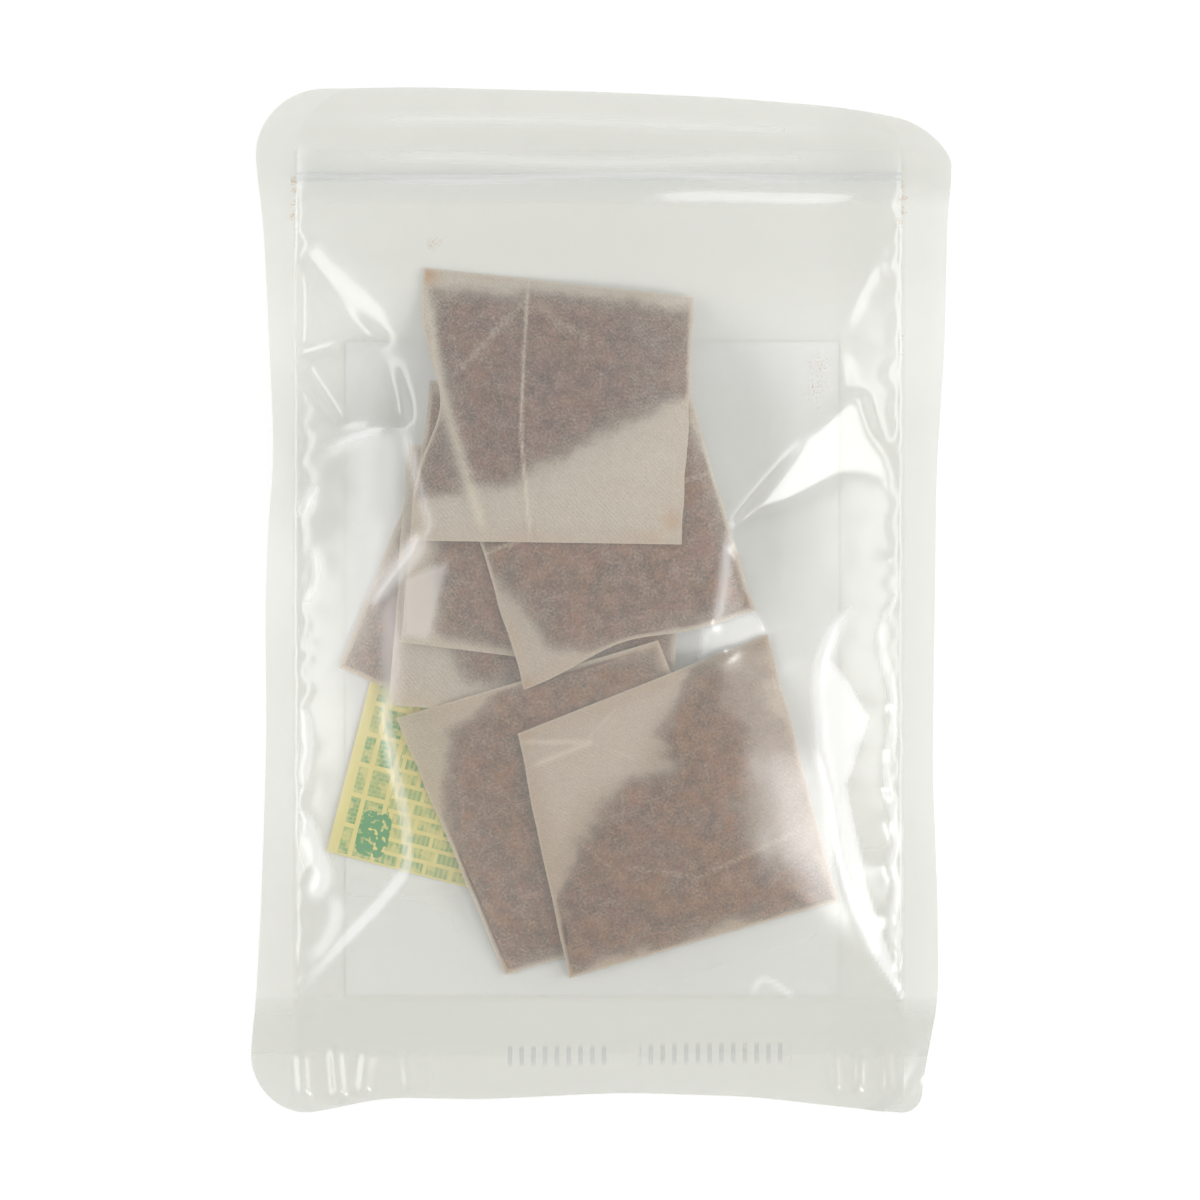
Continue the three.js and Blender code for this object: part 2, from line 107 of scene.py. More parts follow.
# Filter bags: how far heights are blurred, gaps, the hem that thins to the edge, and the cloth underneath
BAG_BLUR, UNDER_BLUR = 2.6, 1.5
BAG_GAP, CLOTH, LEAST_FILL, HEM = 0.12, 0.05, 0.3, 5
HEAP_GAP, LEAST_POWDER = 0.16, 0.03
UNDER_COVER = 0.85
RIM = 1e-6

# Absorber: cells of its grid, its map, the margin of its print and where the blocks turn to bars
ABSORBER_CELLS = 48
ABSORBER_WIDTH, ABSORBER_HEIGHT = 45, 50
PRINT_MARGIN, PRINT_SPLIT = 2.6, 12.0

# Waves across the cloth's bond points and the bars on the skirt
BOND_WAVE, BAR_WAVE = 5.2, 2.2

# How much the film hides of the bags it lies on
VEIL_ON_BAGS = 0.18

# Floor, and lamps: name, place, width, height and share of the side light
FLOOR_HALF, FLOOR_DROP, FLOOR_GLOW = 1.5, 0.0002, 0.13
FLOOR_COLOUR = (0.86, 0.86, 0.86, 1)
LAMPS = [
    ("left_lamp", (-1.08, 0.05, 0.7), 1.2, 0.42, 0.75),
    ("right_lamp", (1.14, 0.12, 0.62), 1.2, 0.42, 0.75),
    ("front_lamp", (0.85, -0.4, 1.1), 0.3, 0.3, 2.4),
]

# Camera: width of its sensor, place over the table, and the height at which the view width is measured
SENSOR = 36
CAMERA_X, CAMERA_Y = -0.24, 0.12
VIEW_HEIGHT = 0.004

# Creases of the back film: points, half width and height in millimetres, and how white the fold is painted
# The white of a fold is partly the film's own whitening there and partly a painted highlight
CREASES = [
    # Upper left
    ([(297, 233), (345, 272), (415, 340)], 3.4, 0.7, 0.04),
    ([(310, 460), (345, 440), (400, 425)], 1.1, 0.7, 0.08),
    ([(408, 405), (411, 440), (425, 500), (431, 525), (420, 545), (398, 580)], 0.5, 0.5, 0.14),
    ([(430, 530), (412, 558), (390, 584), (368, 610)], 1.4, 0.8, 0.3),
    # Long fold over the absorber to the lower left corner
    ([(400, 600), (399, 659), (388, 704), (393, 753), (405, 812), (408, 848), (405, 870), (381, 902),
      (343, 942), (289, 1003)], 0.65, 0.65, 0.24),
    # Both borders of the white ridge at the right
    ([(874, 593), (841, 616), (823, 652), (818, 693), (823, 749), (834, 795), (841, 851), (857, 907),
      (877, 953), (903, 998)], 1.1, 0.6, 0.22),
    ([(892, 560), (896, 591), (881, 637), (895, 708), (887, 770), (898, 836), (893, 862), (898, 890),
      (893, 930), (901, 994)], 0.7, 0.4, 0.14),
    # Puckers at the left seal
    ([(298, 522), (306, 500), (320, 482)], 1.1, 0.5, 0.14),
    ([(303, 612), (315, 570), (306, 540)], 1.1, 0.45, 0.1),
    ([(302, 700), (307, 740), (300, 795)], 1.0, 0.6, 0.2),
    ([(299, 806), (312, 845), (322, 878), (304, 905)], 1.5, 0.8, 0.22),
    ([(302, 962), (320, 950), (338, 915), (328, 888)], 1.1, 0.6, 0.12),
    # Folds between the bags and the right seal
    ([(730, 522), (725, 560), (720, 600), (712, 632)], 0.8, 0.5, 0.2),
    ([(903, 215), (860, 290), (838, 340)], 1.6, 0.7, 0),
    ([(838, 340), (850, 400), (880, 455), (899, 470)], 1.5, 0.7, 0),
    # Below the bags
    ([(750, 1001), (764, 980), (800, 1001)], 0.4, 0.25, 0.1),
    # Header and strip
    ([(285, 121), (450, 118), (620, 122), (800, 130), (890, 137)], 1.0, 0.2, 0.07),
    ([(300, 160), (450, 157), (600, 163), (760, 158), (880, 163)], 1.2, 0.2, 0.08),
    ([(300, 178), (470, 181), (640, 175), (780, 180), (890, 178)], 0.8, 0.2, 0.08),
    ([(640, 198), (720, 197), (800, 199), (868, 197)], 0.55, 0.3, 0.3),
    # Over the lowest right bag
    ([(740, 880), (748, 905), (760, 930), (800, 925)], 1.0, 0.3, 0),
    # Skirt
    ([(300, 1046), (304, 1104)], 1.5, 1.4, 0),
    ([(334, 1042), (340, 1106)], 1.7, 1.6, 0),
    ([(368, 1046), (362, 1100)], 1.6, 1.3, 0),
    ([(404, 1048), (410, 1096)], 1.2, 0.9, 0),
    ([(433, 1052), (430, 1094)], 1.1, 0.7, 0),
    ([(833, 1050), (838, 1095)], 1.0, 0.9, 0),
    ([(862, 1052), (858, 1098)], 1.0, 1.0, 0),
    ([(886, 1050), (890, 1096)], 1.0, 1.0, 0),
]

# Flat patches of the back film: outline, slopes across and along, and how soft its border is
PATCHES = [
    ([(296, 362), (366, 346), (398, 368), (408, 402), (410, 422), (340, 424)], 0.2, 0.0, 1.2),
    ([(296, 258), (345, 304), (388, 340), (364, 342), (296, 348)], 0.22, 0.0, 1.2),
    ([(731, 527), (800, 440), (845, 392), (865, 395), (875, 430), (895, 460), (893, 477),
      (840, 482), (790, 510)], -0.335, 0.158, 0.8),
    ([(400, 610), (412, 570), (448, 565), (440, 600), (432, 640), (402, 640)], 0.42, -0.02, 1.8),
    ([(696, 640), (722, 540), (740, 560), (756, 612), (776, 640), (722, 658)], -0.5, -0.04, 1.6),
]

# Places where the back film is drawn smooth and painted white as a highlight: outline, border and how white
# it is painted
SHEEN_PATCHES = [
    ([(823, 655), (846, 683), (867, 718), (857, 749), (844, 785), (851, 821), (859, 856), (866, 892),
      (878, 928), (903, 997), (874, 953), (855, 907), (840, 851), (832, 795),
      (822, 749), (817, 693)], 1.0, 0.32),
    ([(384, 604), (399, 588), (402, 650), (398, 704), (384, 698), (382, 650)], 3.0, 0.16),
    ([(522, 740), (600, 706), (690, 670), (656, 726), (640, 770), (590, 798), (556, 846),
      (538, 800)], 5.0, 0.05),
    ([(404, 578), (450, 562), (440, 600), (430, 640), (404, 636)], 1.2, 0.12),
    ([(700, 628), (752, 612), (764, 630), (700, 656)], 1.6, 0.14),
    ([(724, 660), (768, 636), (838, 900), (765, 885), (752, 780)], 3.0, 0.02),
]

# Filter bags from the lowest to the highest. Corners go from the lower left, anticlockwise, from above.
# warm is how warm a brown it has, grid its cells along a side and powder the outline of its powder.
# thin is the share and outline of thinner powder, and ragged how rough the powder's border is.
# bow and pinch are how far its lower side and its left side are drawn in, in millimetres.
BAGS = [
    {"node": "sachet_1", "warm": 0.75, "grid": 56,
     "corners": [(338, 668), (588, 770), (690, 520), (439, 418)],
     "powder": [(344, 662), (395, 560), (440, 430), (670, 530), (580, 745), (420, 690), (365, 672)]},
    {"node": "sachet_2", "warm": 0.3, "grid": 56,
     "corners": [(390, 705), (661, 724), (679, 453), (408, 445)],
     "powder": [(470, 680), (640, 700), (665, 460), (425, 450), (420, 560)]},
    {"node": "sachet_3", "warm": 0.45, "grid": 64,
     "corners": [(401, 642), (674, 676), (694, 404), (430, 380)],
     "powder": [(438, 560), (446, 630), (510, 645), (665, 668), (685, 410), (430, 395), (420, 440),
                (414, 492), (450, 502)]},
    {"node": "sachet_4", "warm": 0.6, "grid": 96,
     "corners": [(505, 976), (767, 898), (658, 640), (396, 718)],
     "powder": [(506, 690), (456, 735), (443, 800), (462, 880), (488, 940), (506, 970), (560, 955),
                (750, 895), (655, 652), (600, 662), (548, 676)]},
    {"node": "sachet_5", "warm": 0.45, "bow": 3.5, "grid": 96,
     "corners": [(525, 690), (755, 611), (676, 352), (446, 430)],
     "powder": [(486, 560), (520, 598), (548, 642), (600, 648), (700, 622), (748, 606), (712, 480),
                (670, 370), (460, 440)]},
    {"node": "sachet_6", "warm": 0.76, "ragged": 2.4, "grid": 100,
     "corners": [(569, 979), (838, 902), (768, 634), (518, 733)],
     "powder": [(566, 972), (834, 900), (806, 850), (770, 866), (735, 842), (744, 808), (759, 788),
                (744, 738), (722, 704), (726, 668), (700, 672), (668, 700), (658, 735), (668, 765),
                (640, 784), (600, 806), (580, 842), (562, 900)],
     "thin": [(0.3, [(700, 668), (766, 642), (834, 900), (720, 830)])]},
    {"node": "sachet_7", "warm": 0.1, "pinch": 6.0, "grid": 100,
     "corners": [(410, 541), (681, 545), (694, 297), (423, 267)],
     "powder": [(433, 291), (528, 297), (640, 306), (640, 412), (560, 455), (500, 486), (472, 482),
                (450, 400), (440, 350)],
     "thin": [(0.68, [(600, 303), (692, 308), (690, 396), (630, 424)]),
              (0.7, [(438, 408), (424, 450), (414, 498), (468, 500), (456, 465), (446, 430)])]},
]

# Folds of single bags: bag, points, half width, height, how pale it shows
FOLDS = [
    ("sachet_7", [(528, 280), (524, 360), (522, 440), (531, 541)], 0.45, 0.4, 0.9),
    ("sachet_7", [(428, 300), (438, 375), (466, 470), (487, 541)], 1.4, 0.6, 0.75),
    ("sachet_7", [(527, 300), (490, 340), (458, 374)], 1.1, 0.25, 0.4),
    ("sachet_7", [(530, 303), (560, 325), (592, 342)], 1.2, 0.2, 0.35),
    ("sachet_5", [(470, 561), (508, 545), (600, 512), (712, 472)], 0.6, 0.4, 0.5),
    ("sachet_3", [(401, 637), (505, 651), (670, 670)], 0.9, 0.3, 0.4),
    ("sachet_6", [(520, 741), (591, 741), (530, 766)], 0.8, 0.5, 0.7),
    ("sachet_6", [(585, 741), (617, 706)], 0.4, 0.3, 0.3),
    ("sachet_6", [(604, 747), (633, 757)], 0.4, 0.3, 0.35),
    ("sachet_6", [(622, 792), (623, 827)], 0.4, 0.3, 0.25),
    ("sachet_6", [(575, 837), (630, 882)], 0.4, 0.3, 0.25),
    ("sachet_6", [(626, 866), (697, 877), (802, 829)], 0.6, 0.35, 0.3),
]

# Orange-brown spots of single bags: bag, place, size and strength
SPOTS = [
    ("sachet_7", 428, 274, 2.6, 0.85),
    ("sachet_7", 672, 522, 2.6, 0.5),
    ("sachet_7", 650, 543, 3.0, 0.4),
    ("sachet_7", 560, 543, 2.5, 0.2),
    ("sachet_5", 528, 685, 2.2, 0.6),
    ("sachet_5", 748, 600, 2.5, 0.4),
    ("sachet_4", 506, 968, 2.5, 0.6),
    ("sachet_4", 470, 880, 2.0, 0.3),
    ("sachet_6", 571, 974, 2.4, 0.6),
    ("sachet_6", 526, 738, 2.2, 0.5),
    ("sachet_6", 530, 800, 2.5, 0.3),
    ("sachet_6", 765, 640, 2.4, 0.4),
    ("sachet_1", 345, 662, 3.0, 0.4),
]

# Powder caught between the films: place, size and strength
DUST = [
    (293, 180, 1.2, 1.0), (294, 190, 1.0, 1.0), (293, 203, 1.0, 0.9), (292, 215, 1.2, 0.9),
    (903, 186, 1.0, 0.9), (904, 197, 1.2, 1.0), (903, 210, 1.0, 0.9), (901, 221, 1.2, 0.9),
    (818, 365, 4.0, 0.55), (815, 390, 4.5, 0.5), (812, 410, 3.0, 0.4), (433, 246, 2.2, 0.7),
    (440, 243, 1.6, 0.6), (905, 125, 5.0, 0.3),
]

# Bars on the skirt: first and last pixel of each row, and its height in the photo
BAR_ROWS = [(505, 610), (640, 788)]
BAR_DOWN = 1056

ABSORBER_CORNERS = [(326, 852), (506, 898), (557, 699), (377, 653)]


# Settings
def colour(name, description, red, green, blue):
    """A colour that a user can change."""
    return bpy.props.FloatVectorProperty(
        name=name, description=description, default=(red, green, blue, 1), size=4, min=0, max=1,
        subtype="COLOR",
    )


class LookSettings(bpy.types.PropertyGroup):
    """Colours of the pouch and of what is in it"""

    film_tint: colour("Film tint", "Veil of the milky film", 0.605, 0.61, 0.56)
    film_clear: colour("Film clear", "Light that the film lets through", 0.985, 0.985, 0.972)
    film_shadow: colour("Film shadow", "Light that lamps send through the film", 0.97, 0.97, 0.96)
    # Fold white is painted on folds and patches: partly the film's whitening at folds, partly painted
    # highlights
    fold_white_and_sheen: colour("Fold white", "Film where it is folded sharply", 0.95, 0.95, 0.93)
    caught_powder: colour("Caught powder", "Powder between the films", 0.50, 0.31, 0.16)
    bars: colour("Bars", "Bars printed on the skirt", 0.30, 0.31, 0.32)
    cloth_dark: colour("Cloth, darker", "Thicker places of the filter cloth", 0.74, 0.66, 0.57)
    cloth_pale: colour("Cloth, paler", "Thinner places of the filter cloth", 0.83, 0.77, 0.69)
    cloth_warm: colour("Cloth, warm", "Cloth of the warmest bags", 0.62, 0.47, 0.33)
    cloth_spot: colour("Cloth spots", "Spots at corners and edges of the bags", 0.64, 0.37, 0.17)
    cloth_fold: colour("Cloth folds", "Doubled cloth of folds and seams", 0.86, 0.78, 0.65)
    stain_cool: colour("Stain, cool", "Cloth with cool brown powder behind it", 0.54, 0.345, 0.29)
    stain_warm: colour("Stain, warm", "Cloth with warm brown powder behind it", 0.55, 0.315, 0.175)
    powder_cool: colour("Powder, cool", "Cool brown powder", 0.135, 0.050, 0.044)
    powder_warm: colour("Powder, warm", "Warm brown powder", 0.19, 0.064, 0.022)
    paper: colour("Paper", "Label", 0.95, 0.95, 0.97)
    strip_clear: colour("Strip", "Press-close strip", 0.84, 0.86, 0.88)
    strip_blue: colour("Strip, closed", "Press-close strip where its rib is in its groove", 0.66, 0.71, 0.80)
    packet_yellow: colour("Packet", "Absorber packet", 0.85, 0.74, 0.25)
    packet_green: colour("Packet print", "Print on the absorber packet", 0.05, 0.33, 0.09)


class PouchSettings(bpy.types.PropertyGroup):
    """Fineness, wrinkles and milkiness of the films, and the cloth"""

    film_columns: bpy.props.IntProperty(
        name="Film columns", description="Cells across each film", default=190, min=20
    )
    film_rows: bpy.props.IntProperty(
        name="Film rows", description="Cells along each film", default=270, min=20
    )
    film_haze: bpy.props.FloatProperty(
        name="Film haze", description="How milky each film is", default=0.27, min=0, max=1, subtype="FACTOR"
    )
    film_roughness: bpy.props.FloatProperty(
        name="Film roughness", description="Blur of the film's shine", default=0.22,
        min=0, max=1, subtype="FACTOR",
    )
    film_puff: bpy.props.FloatProperty(
        name="Film puff", description="How far air lifts the film from cell to cell", default=0.0006,
        min=0, precision=5,
    )
    gather_height: bpy.props.FloatProperty(
        name="Gather height", description="Height of the gathers beside the side seals", default=0.0009,
        unit="LENGTH",
    )
    cloth_cover: bpy.props.FloatProperty(
        name="Cloth cover", description="How much one layer of filter cloth hides", default=0.34,
        min=0, max=1, subtype="FACTOR",
    )
    seed: bpy.props.IntProperty(name="Seed", description="Start of the chance wrinkles", default=7)


class StageSettings(bpy.types.PropertyGroup):
    """Camera and light"""

    camera_height: bpy.props.FloatProperty(
        name="Camera height", description="Height of the camera over the table", default=1.6, unit="LENGTH"
    )
    view_width: bpy.props.FloatProperty(
        name="View width", description="Width of the table that the picture shows", default=0.2911,
        unit="LENGTH",
    )
    side_light: bpy.props.FloatProperty(
        name="Side light", description="Radiance of the two side lamps", default=4.9, min=0
    )
    room_light: bpy.props.FloatProperty(
        name="Room light", description="Strength of the even light of the room", default=0.63, min=0
    )


# Geometry helpers
def soften(grid, rows, columns):
    """Blurs a grid with a Gaussian of so many rows and columns."""
    for axis, width in ((0, rows), (1, columns)):
        reach = max(1, int(3 * width))
        weights = np.exp(-0.5 * (np.arange(-reach, reach + 1) / max(width, 1e-6)) ** 2)
        weights /= weights.sum()
        padding = [(0, 0), (0, 0)]
        padding[axis] = (reach, reach)
        padded = np.pad(grid, padding, mode="reflect", reflect_type="odd")
        out = np.zeros_like(grid)
        for k, weight in enumerate(weights):
            part = padded[k:k + grid.shape[0]] if axis == 0 else padded[:, k:k + grid.shape[1]]
            out += weight * part
        grid = out
    return grid


def widened(grid, cells):
    """Each value replaced by the highest one within so many cells."""
    for axis in (0, 1):
        out = grid.copy()
        for shift in range(1, cells + 1):
            for way in (-shift, shift):
                out = np.maximum(out, np.roll(grid, way, axis))
        grid = out
    return grid


def smoothstep(low, high, value):
    """Rises smoothly from 0 at one limit to 1 at the other."""
    share = np.clip((value - low) / (high - low), 0, 1)
    return share * share * (3 - 2 * share)


def along_line(points, x, y):
    """Distance of every place to a line through points, and the share of its length there."""
    points = np.asarray(points, float)
    lengths = np.hypot(*np.diff(points, axis=0).T)
    starts = np.concatenate([[0], np.cumsum(lengths)])
    best = np.full(x.shape, np.inf)
    share = np.zeros(x.shape)
    for a, b, length, start in zip(points[:-1], points[1:], lengths, starts):
        t = np.clip(((x - a[0]) * (b[0] - a[0]) + (y - a[1]) * (b[1] - a[1])) / length ** 2, 0, 1)
        d = np.hypot(x - a[0] - t * (b[0] - a[0]), y - a[1] - t * (b[1] - a[1]))
        near = d < best
        best = np.where(near, d, best)
        share = np.where(near, (start + t * length) / starts[-1], share)
    return best, share


def smooth_line(points, steps=8):
    """A Catmull-Rom line through points."""
    points = np.asarray(points, float)
    ends = np.vstack([2 * points[0] - points[1], points, 2 * points[-1] - points[-2]])
    line = []
    for k in range(1, len(ends) - 2):
        a, b, c, d = ends[k - 1:k + 3]
        for t in np.linspace(0, 1, steps, endpoint=False):
            line.append(0.5 * (2 * b + (c - a) * t + (2 * a - 5 * b + 4 * c - d) * t ** 2
                               + (3 * b - a - 3 * c + d) * t ** 3))
    return np.vstack([line, points[-1]])


def inside(points, x, y):
    """Signed distance to the outline through points, positive inside it."""
    points = np.asarray(points, float)
    closed = np.vstack([points, points[:1]])
    distance, _ = along_line(closed, x, y)
    odd = np.zeros(x.shape, bool)
    for a, b in zip(closed[:-1], closed[1:]):
        crosses = (a[1] > y) != (b[1] > y)
        slope = (b[0] - a[0]) / (b[1] - a[1]) if b[1] != a[1] else 0.0
        odd ^= crosses & (x < a[0] + (y - a[1]) * slope)
    return np.where(odd, distance, -distance)


def value_noise(x, y, size, seed):
    """Smooth noise between -1 and 1 with lumps of a size in millimetres."""
    rng = np.random.default_rng(seed)
    table = rng.uniform(-1, 1, (64, 64))
    i, j = np.floor(x / size).astype(int), np.floor(y / size).astype(int)
    p, q = x / size - i, y / size - j
    p, q = p * p * (3 - 2 * p), q * q * (3 - 2 * q)

    def corner(a, b):
        return table[(j + b) % 64, (i + a) % 64]

    return (corner(0, 0) * (1 - p) * (1 - q) + corner(1, 0) * p * (1 - q)
            + corner(0, 1) * (1 - p) * q + corner(1, 1) * p * q)


def spot(x, y, across, down, size):
    """A soft round spot of strength 1 about the place of a pixel."""
    cx, cy = at(across, down)
    return np.exp(-((x - cx) ** 2 + (y - cy) ** 2) / size ** 2)


def tree_of(node):
    """A search tree of a CAD node's faces, in millimetres."""
    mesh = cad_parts[node].data
    points = [v.co / MM for v in mesh.vertices]
    return BVHTree.FromPolygons(points, [tuple(p.vertices) for p in mesh.polygons])


def heights(tree, x, y, from_above=True):
    """Height of a CAD node over each place; beside the node, the height of its nearest edge."""
    out = np.empty(x.size)
    start, way = (100.0, -1.0) if from_above else (-100.0, 1.0)
    for k, (px, py) in enumerate(zip(x.ravel(), y.ravel())):
        hit = tree.ray_cast(Vector((px, py, start)), Vector((0, 0, way)))[0]
        if hit is None:
            hit = tree.find_nearest(Vector((px, py, 10.0 if from_above else 0.0)))[0]
        out[k] = hit.z
    return out.reshape(x.shape)


def grid_faces(rows, columns, flip=False):
    """Quads of a grid of rows by columns of points."""
    j, i = np.meshgrid(np.arange(rows - 1), np.arange(columns - 1), indexing="ij")
    a = (j * columns + i).ravel()
    quads = np.stack([a, a + 1, a + columns + 1, a + columns], 1)
    return quads[:, ::-1] if flip else quads


def corner_grid(corners, cells):
    """A four-cornered piece: shares across and along it, the places of its grid and shares to its border."""
    u, v = np.meshgrid(np.linspace(0, 1, cells + 1), np.linspace(0, 1, cells + 1))
    weights = np.stack([(1 - u) * (1 - v), u * (1 - v), u * v, (1 - u) * v])
    x = np.tensordot(corners[:, 0], weights, (0, 0))
    y = np.tensordot(corners[:, 1], weights, (0, 0))
    border = np.minimum(np.minimum(u, 1 - u), np.minimum(v, 1 - v))
    return u, v, x, y, border


def pad_mesh(x, y, top, under, rim):
    """Points and faces of a closed pad whose upper and lower grids share their rim."""
    rim = rim.ravel()
    second = np.where(rim, np.arange(x.size), x.size + np.cumsum(~rim) - 1)
    points = np.concatenate([
        np.stack([x.ravel(), y.ravel(), top.ravel()], 1),
        np.stack([x.ravel(), y.ravel(), under.ravel()], 1)[~rim],
    ])
    faces = np.concatenate([grid_faces(*x.shape), second[grid_faces(*x.shape, flip=True)]])
    return points, faces


def new_piece(name, points, faces, material, uv=None, values=None, smooth=True, rim=None):
    """A mesh object from points in millimetres, with a map, named values on its points and a sharp rim."""
    mesh = bpy.data.meshes.new(name)
    mesh.from_pydata((np.asarray(points) * MM).tolist(), [], [tuple(int(k) for k in f) for f in faces])
    mesh.validate()
    if smooth:
        mesh.polygons.foreach_set("use_smooth", np.ones(len(mesh.polygons), bool))
    if uv is not None:
        layer = mesh.uv_layers.new(name="Plan")
        loops = np.empty(len(mesh.loops), np.int32)
        mesh.loops.foreach_get("vertex_index", loops)
        layer.data.foreach_set("uv", np.asarray(uv, np.float32)[loops].ravel())
    for key, value in (values or {}).items():
        attribute = mesh.attributes.new(key, "FLOAT", "POINT")
        attribute.data.foreach_set("value", np.asarray(value, np.float32).ravel())
    if rim is not None:
        ends = np.empty(2 * len(mesh.edges), np.int32)
        mesh.edges.foreach_get("vertices", ends)
        around = np.zeros(len(mesh.vertices), bool)
        around[:len(rim)] = rim
        sharp = mesh.attributes.new("sharp_edge", "BOOLEAN", "EDGE")
        sharp.data.foreach_set("value", around[ends.reshape(-1, 2)].all(1))
    mesh.materials.append(material)
    piece = bpy.data.objects.new(name, mesh)
    bpy.context.scene.collection.objects.link(piece)
    return piece


# The pile of things inside the pouch, as heights on a fine grid
class Pile:
    step = 0.5

    def __init__(self):
        self.columns = int(2 * HALF_WIDTH / self.step) + 3
        self.rows = int(2 * HALF_HEIGHT / self.step) + 3
        self.top = np.zeros((self.rows, self.columns))

    def cells(self, x, y):
        i = np.clip(np.rint((x + HALF_WIDTH) / self.step).astype(int), 1, self.columns - 2)
        j = np.clip(np.rint((y + HALF_HEIGHT) / self.step).astype(int), 1, self.rows - 2)
        return j, i

    def add(self, x, y, z):
        j, i = self.cells(x, y)
        for dj in (-1, 0, 1):
            for di in (-1, 0, 1):
                np.maximum.at(self.top, (j + dj, i + di), z)

    def under(self, x, y):
        """Height of the pile at each place, read between its cells."""
        p = np.clip((x + HALF_WIDTH) / self.step, 0, self.columns - 2.001)
        q = np.clip((y + HALF_HEIGHT) / self.step, 0, self.rows - 2.001)
        i, j = p.astype(int), q.astype(int)
        p, q = p - i, q - j
        return (self.top[j, i] * (1 - p) * (1 - q) + self.top[j, i + 1] * p * (1 - q)
                + self.top[j + 1, i] * (1 - p) * q + self.top[j + 1, i + 1] * p * q)


pile = Pile()


# Shader helpers
def node(tree, kind, **values):
    """A shader node with its settings and constant sockets given by name."""
    made = tree.nodes.new(kind)
    for key, value in values.items():
        if hasattr(made, key):
            setattr(made, key, value)
        else:
            made.inputs[key.replace("_", " ")].default_value = value
    return made


def join(tree, output, target):
    tree.links.new(output, target)


def show(tree, shader):
    """Makes a shader the surface of its material."""
    join(tree, shader.outputs[0], node(tree, "ShaderNodeOutputMaterial").inputs["Surface"])


def mix_shaders(tree, share, first, second):
    made = tree.nodes.new("ShaderNodeMixShader")
    for target, output in zip(made.inputs, (share, first.outputs[0], second.outputs[0])):
        join(tree, output, target)
    return made


def new_material(name):
    """A material with an empty node tree."""
    material = bpy.data.materials.new(name)
    material.use_nodes = True
    material.node_tree.nodes.clear()
    return material, material.node_tree


def new_group(name, inputs, outputs):
    """A node group with its inputs and outputs."""
    group = bpy.data.node_groups.new(name, "ShaderNodeTree")
    for label, kind, default in inputs:
        socket = group.interface.new_socket(label, in_out="INPUT", socket_type=kind)
        socket.default_value = default
    for label, kind in outputs:
        group.interface.new_socket(label, in_out="OUTPUT", socket_type=kind)
    return group, group.nodes.new("NodeGroupInput"), group.nodes.new("NodeGroupOutput")


def math_node(tree, operation, a, b=None, clamp=False):
    """The result of a math operation on sockets or numbers."""
    made = tree.nodes.new("ShaderNodeMath")
    made.operation = operation
    made.use_clamp = clamp
    for k, value in enumerate((a, b)):
        if value is None:
            continue
        if isinstance(value, (int, float)):
            made.inputs[k].default_value = value
        else:
            join(tree, value, made.inputs[k])
    return made.outputs[0]


def times(tree, a, b, clamp=False):
    return math_node(tree, "MULTIPLY", a, b, clamp)


def plus(tree, a, b, clamp=False):
    return math_node(tree, "ADD", a, b, clamp)


def minus(tree, a, b):
    return math_node(tree, "SUBTRACT", a, b)


def above(tree, value, limit):
    return math_node(tree, "GREATER_THAN", value, limit)


def larger(tree, a, b):
    return math_node(tree, "MAXIMUM", a, b)


def mix_colour(tree, factor, a, b):
    """A mix of two colours, each a socket or a constant."""
    made = tree.nodes.new("ShaderNodeMix")
    made.data_type = "RGBA"
    for key, value in (("Factor", factor), ("A", a), ("B", b)):
        socket = next(s for s in made.inputs if s.name == key and s.enabled)
        if hasattr(value, "is_linked"):
            join(tree, value, socket)
        else:
            socket.default_value = value
    return next(s for s in made.outputs if s.enabled)


def point_value(tree, name):
    """A value kept on the points of a piece."""
    made = tree.nodes.new("ShaderNodeAttribute")
    made.attribute_name = name
    return made.outputs["Fac"]


def noise(tree, vector, scale, detail=2.0, roughness=0.5):
    made = tree.nodes.new("ShaderNodeTexNoise")
    made.inputs["Scale"].default_value = scale
    made.inputs["Detail"].default_value = detail
    made.inputs["Roughness"].default_value = roughness
    join(tree, vector, made.inputs["Vector"])
    return made.outputs["Fac"]


def spread(tree, value, low, high):
    """The part of a value between two limits, stretched to 0 to 1."""
    made = tree.nodes.new("ShaderNodeMapRange")
    made.inputs["From Min"].default_value = low
    made.inputs["From Max"].default_value = high
    join(tree, value, made.inputs["Value"])
    return made.outputs["Result"]


def plan_map(tree):
    """Places on the flat piece, in millimetres."""
    made = tree.nodes.new("ShaderNodeUVMap")
    made.uv_map = "Plan"
    return made.outputs["UV"]


def parts_of(tree, vector):
    """The first two parts of a vector."""
    made = tree.nodes.new("ShaderNodeSeparateXYZ")
    join(tree, vector, made.inputs[0])
    return made.outputs[0], made.outputs[1]


def grouped_material(name, group, values, strength, depth, roughness, specular):
    """A material with the colour, cover and relief of a group that is fed by values on the points."""
    material, tree = new_material(name)
    made = tree.nodes.new("ShaderNodeGroup")
    made.node_tree = group
    join(tree, plan_map(tree), made.inputs["Plan"])
    for value, socket in values.items():
        join(tree, point_value(tree, value), made.inputs[socket])
    bump = node(tree, "ShaderNodeBump", Strength=strength, Distance=depth)
    join(tree, made.outputs["Height"], bump.inputs["Height"])
    body = node(tree, "ShaderNodeBsdfPrincipled", Roughness=roughness, Specular_IOR_Level=specular)
    join(tree, made.outputs["Colour"], body.inputs["Base Color"])
    join(tree, made.outputs["Alpha"], body.inputs["Alpha"])
    join(tree, bump.outputs[0], body.inputs["Normal"])
    show(tree, body)
    return material


